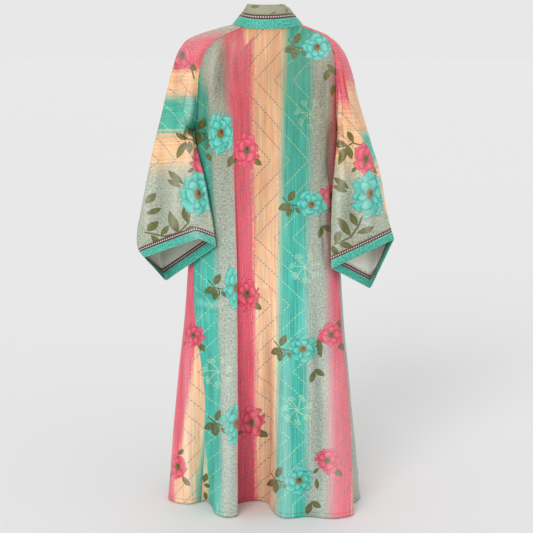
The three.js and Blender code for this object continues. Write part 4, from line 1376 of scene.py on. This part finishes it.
def border_material():
    """Mottled teal ribbon with a line of topstitching near each edge."""
    dyes = settings()
    paint = Paint("Teal_Border")
    place = paint.uv("print")
    across, _, _ = paint.parts(paint.uv("bands"))
    blotch = paint.noise(place, 0.55, 4)
    fleck = paint.noise(place, 2.1, 3)
    colour = paint.mix(blotch.ramp_up(0.38, 0.6), tuple(dyes.border[:3]), tint(26, 138, 120))
    colour = paint.mix(fleck.ramp_up(0.56, 0.7) * 0.6, colour, tint(140, 222, 200))
    from_edge = across.least(1 - across)
    line = abs(from_edge - 0.07).ramp_down(0.008, 0.03)
    dash = ((paint.parts(place)[0] + paint.parts(place)[1]) % 1.3).ramp_down(0.7, 0.95)
    stitch = line * dash
    colour = paint.mix(stitch * 0.6, colour, tint(206, 240, 222))
    return finish_cloth(paint, colour, place, stitch)


def trim_material():
    """Dark braid with a row of pale diamonds along it and a paler line down each edge."""
    dyes = settings()
    paint = Paint("Braid_Trim")
    place = paint.uv("print")
    across, along, _ = paint.parts(paint.uv("bands"))
    from_middle = abs(across - 0.5)
    diamond = abs(along % BRAID_STEP - BRAID_STEP / 2) + from_middle * 4
    pale = diamond.ramp_down(0.7, 0.9)
    colour = paint.mix(from_middle.ramp_up(0.26, 0.32) * 0.8, tuple(dyes.trim[:3]), tint(36, 16, 20))
    colour = paint.mix(from_middle.ramp_up(0.42, 0.46) * 0.6, colour, tint(168, 120, 110))
    colour = paint.mix(pale * 0.8, colour, tint(240, 228, 214))
    return finish_cloth(paint, colour, place, 1 - pale)


def band_material():
    """Speckled grey-green print with olive leaves along it, for the collar's upper band."""
    dyes = settings()
    paint = Paint("Leaf_Band")
    across, along, _ = paint.parts(paint.uv("bands"))
    place = paint.uv("print")
    grain = paint.noise(place, 1.15, 4)
    dust = paint.noise(place, 2.6, 2)
    ground = paint.mix(grain.ramp_up(0.38, 0.62), tuple(dyes.band[:3]), tint(120, 126, 104))
    ground = paint.mix(dust.ramp_up(0.55, 0.68) * 0.5, ground, tint(206, 204, 178))
    cell = paint.node("ShaderNodeCombineXYZ", None, {0: along % BAND_REPEAT, 1: across * BAND_SCALE})
    green = leaves(paint, cell, BAND_LEAVES) + (dust - 0.5) * 0.4
    colour = paint.mix(green.ramp_up(-0.1, 0.3) * 0.9, ground, OLIVE)
    from_edge = across.least(1 - across)
    stitch = abs(from_edge - 0.07).ramp_down(0.01, 0.04)
    return finish_cloth(paint, colour, place, stitch)


# Sizes and colours that a user may change


def dye(name, description, default):
    """A colour that a user may change."""
    return bpy.props.FloatVectorProperty(
        name=name, description=description, default=default, subtype="COLOR", size=3, min=0, max=1
    )


class KimonoSettings(bpy.types.PropertyGroup):
    """The robe's thicknesses, the colours it is dyed in and how strongly shade and highlights are painted
    into its folds
    """

    cloth_wall: bpy.props.FloatProperty(
        name="Cloth", description="Thickness of the cloth's wall", default=0.0013, unit="LENGTH"
    )
    hem_extra: bpy.props.FloatProperty(
        name="Hem", description="How much the folded hem stands out", default=0.0007, unit="LENGTH"
    )
    band_puff: bpy.props.FloatProperty(
        name="Puff", description="Height of the sewn-on bands' round backs", default=0.0008, unit="LENGTH"
    )
    # painted shade in the folds' valleys, by this share at the deepest
    painted_fold_shade: bpy.props.FloatProperty(
        name="Fold shade", description="How much deeper the dye looks in folds", default=0.3
    )
    # painted highlight on the folds' crests, by this share at the highest
    painted_crest_highlight: bpy.props.FloatProperty(
        name="Crest glow", description="How much paler the worn crests of folds are", default=0.14
    )
    weave_relief: bpy.props.FloatProperty(
        name="Weave relief", description="How strongly the weave catches the light", default=0.5
    )
    pink: dye("Pink", "The print's pink bands", tint(214, 75, 97))
    cream: dye("Cream", "The print's cream bands", tint(238, 198, 150))
    teal: dye("Teal", "The print's teal bands", tint(58, 171, 148))
    grey: dye("Grey", "The print's grey-green bands", tint(160, 168, 148))
    border: dye("Border", "The bands round neck, fronts and cuffs", tint(62, 188, 164))
    trim: dye("Trim", "The braid between the bands", tint(78, 26, 38))
    band: dye("Leaf band", "The collar's upper band", tint(160, 160, 134))


class KimonoStage(bpy.types.PropertyGroup):
    """The studio the robe is shown in"""

    lens: bpy.props.FloatProperty(
        name="Lens", description="Focal length in millimetres", default=76.46, subtype="DISTANCE_CAMERA"
    )
    surroundings: dye("Surroundings", "The light that comes from all round", (0.807, 0.807, 0.807))
    floor: dye("Floor", "The studio's floor", (0.742, 0.742, 0.742))
    key_light: bpy.props.FloatProperty(name="Key", description="Strength of the main light", default=1.35)
    fill_light: bpy.props.FloatProperty(name="Fill", description="Strength of the fill light", default=0.25)


def settings():
    return bpy.context.scene.kimono


# Pieces


@functools.cache
def grids():
    return all_grids()


PRINTS = {
    "Body_Print": (TEAL_FLOWERS, PINK_FLOWERS, LOOSE_LEAVES),
    "Left_Sleeve_Print": (
        LEFT_SLEEVE_FLOWERS, LEFT_SLEEVE_PINKS, LEFT_SLEEVE_LEAVES, LEFT_ORDER, LEFT_SLEEVE_STEMS,
    ),
    "Right_Sleeve_Print": (
        RIGHT_SLEEVE_FLOWERS, RIGHT_SLEEVE_PINKS, RIGHT_SLEEVE_LEAVES, RIGHT_ORDER, RIGHT_SLEEVE_STEMS,
    ),
}
RIBBONS = {"Teal_Border": border_material, "Braid_Trim": trim_material, "Leaf_Band": band_material}


@functools.cache
def material(name):
    return print_material(name, *PRINTS[name]) if name in PRINTS else RIBBONS[name]()


def cut_size(grid):
    """Width and length of the cloth a piece is cut from, and its flat area."""
    width = lengths(grid.swapaxes(0, 1))[-1].max()
    length = lengths(grid)[-1].max()
    across = np.linalg.norm(np.diff(grid, axis=1), axis=-1)
    down = np.linalg.norm(np.diff(grid, axis=0), axis=-1)
    area = float((across[:-1] * (down[:, :-1] + down[:, 1:]) / 2).sum())
    return (float(width), float(length)), area


def with_hem(grid):
    """The grid with its lowest rows standing out a little, where the hem is folded up."""
    fold = 0.5 - 0.5 * np.tanh((lengths(grid) - HEM_DEPTH) / HEM_EDGE)
    return grid + facing(grid) * (settings().hem_extra * fold)[..., None]


def add_body_piece(node, places, phases, split=None):
    """Adds the back or a front, with its wrinkles and its hem."""
    grid = grids()[node]
    flat, area = cut_size(grid)
    shaped = with_hem(pressed(grid, places, BODY_WRINKLES))
    mesh = build_mesh(node, shaped, places, phases, split=split)
    add_piece(node, mesh, material("Body_Print"))


def body_phases(places, table):
    """The colour's and the zigzags' phase at every point of a body piece."""
    return np.stack((colour_phase(places, table), chevron_phase(places)), axis=-1)


class KIMONO_OT_back_panel(bpy.types.Operator):
    """Make the back panel with its flutes and the lapped fold down it"""

    bl_idname = "kimono.back_panel"
    bl_label = "Back panel"

    def execute(self, context):
        places = flat_view(grids()["back_panel"])
        right = body_phases(places, RIGHT_OF_LAP) + np.array((OVER_LAP, 0))
        add_body_piece(
            "back_panel", places, body_phases(places, LEFT_OF_LAP), (LAP_LINE * FOLD_STEPS, right)
        )
        return {"FINISHED"}


class KIMONO_OT_fronts(bpy.types.Operator):
    """Make the two front panels, which run from the open front round to the back"""

    bl_idname = "kimono.fronts"
    bl_label = "Fronts"

    def execute(self, context):
        for node, line, step, table in (
            ("left_front", LEFT_SIDE_LINE, -1, LEFT_SIDE),
            ("right_front", RIGHT_SIDE_LINE, 1, RIGHT_SIDE),
        ):
            grid = grids()[node]
            seen = flat_view(grid)
            phases = body_phases(along_the_cloth(grid, seen, line * FOLD_STEPS, step, step), table)
            seam = grid.shape[1] - 1 if step < 0 else 0
            places = along_the_cloth(grid, seen, seam, step, step)
            add_body_piece(node, places, phases)
        return {"FINISHED"}


def sleeve_phases(places, bands):
    """The colour's and the zigzags' phase at every point of a sleeve."""
    first, levels = bands
    phase = first + np.interp(places[..., 1], levels, range(len(levels)))
    return np.stack((phase, chevron_phase(places)), axis=-1)


class KIMONO_OT_sleeves(bpy.types.Operator):
    """Make the back and front half of each raglan sleeve"""

    bl_idname = "kimono.sleeves"
    bl_label = "Sleeves"

    def execute(self, context):
        for name, half, side, bands in (
            ("left", "back", -1, LEFT_SLEEVE_BANDS),
            ("left", "front", -1, LEFT_SLEEVE_BANDS),
            ("right", "back", 1, RIGHT_BACK_BANDS),
            ("right", "front", 1, RIGHT_FRONT_BANDS),
        ):
            node = f"{name}_sleeve_{half}"
            grid = above_cuff(grids()[node], CUFF_TRIM_WIDTH + CUFF_BORDER_WIDTH)
            outward = side if half == "back" else -side
            places = flat_view(grid)
            wrinkles = SLEEVE_WRINKLES
            if half == "front":
                places = along_the_cloth(grid, places, 0, 1, side)
                wrinkles = FRONT_SLEEVE_WRINKLES
            shaped = pressed(grid, places, wrinkles, outward)
            mesh = build_mesh(node, shaped, places, sleeve_phases(places, bands), outward)
            flat, area = cut_size(grid)
            add_piece(node, mesh, material(f"{name.title()}_Sleeve_Print"))
        return {"FINISHED"}


def strip_layout(grid):
    """Where a strip's points lie along and across it, in print units, and their share of its width."""
    along = lengths(grid[0]) / UNIT
    along -= along[-1] / 2
    across = np.linspace(0, 1, len(grid))
    width = np.linalg.norm(grid[-1, 0] - grid[0, 0]) / UNIT
    share, along = np.meshgrid(across, along, indexing="ij")
    return np.stack((along, share * width), axis=-1), np.stack((share, along), axis=-1)


def puffed(grid, outward, height):
    """A strip with a round back and thin sewn edges."""
    across = np.linspace(-1, 1, len(grid))
    return grid + facing(grid) * (outward * height * (1 - across**4))[:, None, None]


def add_strip(node, grid, name, outward=1, ring=False):
    """Adds a sewn-on band, dyed with the material of that name."""
    places, phases = strip_layout(grid)
    flat, area = cut_size(grid)
    mesh = build_mesh(
        node, puffed(grid, outward, settings().band_puff), places, phases, outward, ring=ring
    )
    add_piece(node, mesh, material(name))


class KIMONO_OT_cuffs(bpy.types.Operator):
    """Make the braid and the teal border round each cuff"""

    bl_idname = "kimono.cuffs"
    bl_label = "Cuffs"

    def execute(self, context):
        top = CUFF_TRIM_WIDTH + CUFF_BORDER_WIDTH
        for name, side in (("left", -1), ("right", 1)):
            back = grids()[f"{name}_sleeve_back"]
            front = grids()[f"{name}_sleeve_front"]

            def ring(distance):
                return np.concatenate((cuff_row(back, distance), cuff_row(front, distance)[::-1][1:]))

            for part, start, end, rows, paint_name, slot in (
                ("trim", top, CUFF_BORDER_WIDTH, 5, "Braid_Trim", "trim_cloth"),
                ("border", CUFF_BORDER_WIDTH, 0, 8, "Teal_Border", "border_cloth"),
            ):
                strip = np.array([ring(distance) for distance in np.linspace(start, end, rows)])
                add_strip(f"{name}_cuff_{part}", strip, paint_name, side, ring=True)
        return {"FINISHED"}


class KIMONO_OT_collar(bpy.types.Operator):
    """Make the border, braid and leaf band that run up the fronts and round the neck"""

    bl_idname = "kimono.collar"
    bl_label = "Collar"

    def execute(self, context):
        path = collar_path(grids())
        seam = np.array([point for point, _ in path])
        leans = np.array([lean_at(point, on_front) for point, on_front in path])
        aside = np.column_stack((abs(seam[:, 0]), seam[:, 1:]))
        from_side = np.linalg.norm(aside - NECK_SIDE, axis=1)
        drop = BAND_DROP * np.exp(-((from_side / BAND_DROP_REACH) ** 2))
        start = 0
        for node, width, rows, name, slot in (
            ("collar_border", BORDER_WIDTH, 8, "Teal_Border", "border_cloth"),
            ("collar_trim", TRIM_WIDTH, 5, "Braid_Trim", "trim_cloth"),
            ("collar_band", BAND_WIDTH, 8, "Leaf_Band", "band_cloth"),
        ):
            spots = np.linspace(0, width, rows)[:, None]
            if node == "collar_band":
                spots = spots * (1 - drop)
            strip = seam + leans * (start + spots)[..., None]
            add_strip(node, strip, name)
            start += width
        return {"FINISHED"}


class KIMONO_OT_stage(bpy.types.Operator):
    """Set up the plain floor, the soft studio light and the camera"""

    bl_idname = "kimono.stage"
    bl_label = "Studio"

    def execute(self, context):
        scene = context.scene
        stage = scene.kimono_stage
        low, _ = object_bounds()
        mesh = bpy.data.meshes.new("studio_floor")
        turns = [2 * math.pi * k / FLOOR_SIDES for k in range(FLOOR_SIDES)]
        rim = [(FLOOR_REACH * math.cos(t), FLOOR_REACH * math.sin(t), low[2] - FLOOR_DROP) for t in turns]
        mesh.from_pydata(rim, [], [list(range(FLOOR_SIDES))])
        floor = bpy.data.objects.new("studio_floor", mesh)
        scene.collection.objects.link(floor)
        mesh.materials.append(floor_material())
        floor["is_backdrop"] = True

        world = bpy.data.worlds.new("studio")
        world.use_nodes = True
        background = world.node_tree.nodes["Background"]
        background.inputs["Color"].default_value = (*stage.surroundings, 1)
        background.inputs["Strength"].default_value = 1
        scene.world = world

        # suns: the spread is in degrees, and each shines from its place towards the middle
        for name, strength, spread, place in (
            ("key", stage.key_light, 30, (-1.2, -2.7, 1.6)),
            ("fill", stage.fill_light, 60, (2.6, -1.4, 1.2)),
            ("back", stage.fill_light, 60, (0.6, 3.0, 1.4)),
        ):
            light = bpy.data.lights.new(name, "SUN")
            light.energy = strength
            light.angle = math.radians(spread)
            lamp = bpy.data.objects.new(name, light)
            lamp.location = place
            lamp.rotation_euler = (-Vector(place)).to_track_quat("-Z", "Y").to_euler()
            scene.collection.objects.link(lamp)

        camera = bpy.data.objects.new("camera", bpy.data.cameras.new("camera"))
        camera.data.lens = stage.lens
        camera.data.sensor_width = SENSOR_WIDTH
        camera.data.shift_x = VIEW_SHIFT
        behind = VIEW_DISTANCE * math.cos(VIEW_TILT)
        camera.location = (0, -behind, VIEW_MIDDLE + VIEW_DISTANCE * math.sin(VIEW_TILT))
        camera.rotation_euler = (math.pi / 2 - VIEW_TILT, 0, 0)
        scene.collection.objects.link(camera)
        scene.camera = camera
        scene.view_settings.view_transform = "Standard"
        return {"FINISHED"}


def floor_material():
    paint = Paint("Studio_Floor")
    place = paint.node("ShaderNodeTexCoord", output=3)
    faint = paint.noise(place, 0.5, 1)
    shade = bpy.context.scene.kimono_stage.floor
    paint.feed(paint.shader.inputs["Base Color"], paint.mix(faint * 0.05, tuple(shade), (0.6, 0.6, 0.6)))
    paint.shader.inputs["Roughness"].default_value = 0.9
    return paint.material


class KIMONO_PT_sidebar(bpy.types.Panel):
    """The robe's settings and the steps that build it"""

    bl_idname = "KIMONO_PT_sidebar"
    bl_label = "Kimono Robe"
    bl_space_type = "VIEW_3D"
    bl_region_type = "UI"
    bl_category = "Kimono"

    def draw(self, context):
        for group in (context.scene.kimono, context.scene.kimono_stage):
            box = self.layout.box()
            for name in group.__annotations__:
                box.prop(group, name)
        for operator in OPERATORS:
            self.layout.operator(operator.bl_idname)


OPERATORS = (
    KIMONO_OT_back_panel,
    KIMONO_OT_fronts,
    KIMONO_OT_sleeves,
    KIMONO_OT_cuffs,
    KIMONO_OT_collar,
    KIMONO_OT_stage,
)
CLASSES = (KimonoSettings, KimonoStage, *OPERATORS, KIMONO_PT_sidebar)


def register():
    for item in CLASSES:
        bpy.utils.register_class(item)
    bpy.types.Scene.kimono = bpy.props.PointerProperty(type=KimonoSettings)
    bpy.types.Scene.kimono_stage = bpy.props.PointerProperty(type=KimonoStage)


def unregister():
    del bpy.types.Scene.kimono_stage
    del bpy.types.Scene.kimono
    for item in reversed(CLASSES):
        bpy.utils.unregister_class(item)


def main():
    register()
    bpy.ops.kimono.back_panel()
    bpy.ops.kimono.fronts()
    bpy.ops.kimono.sleeves()
    bpy.ops.kimono.cuffs()
    bpy.ops.kimono.collar()
    bpy.ops.kimono.stage()


if __name__ == "__main__":
    main()
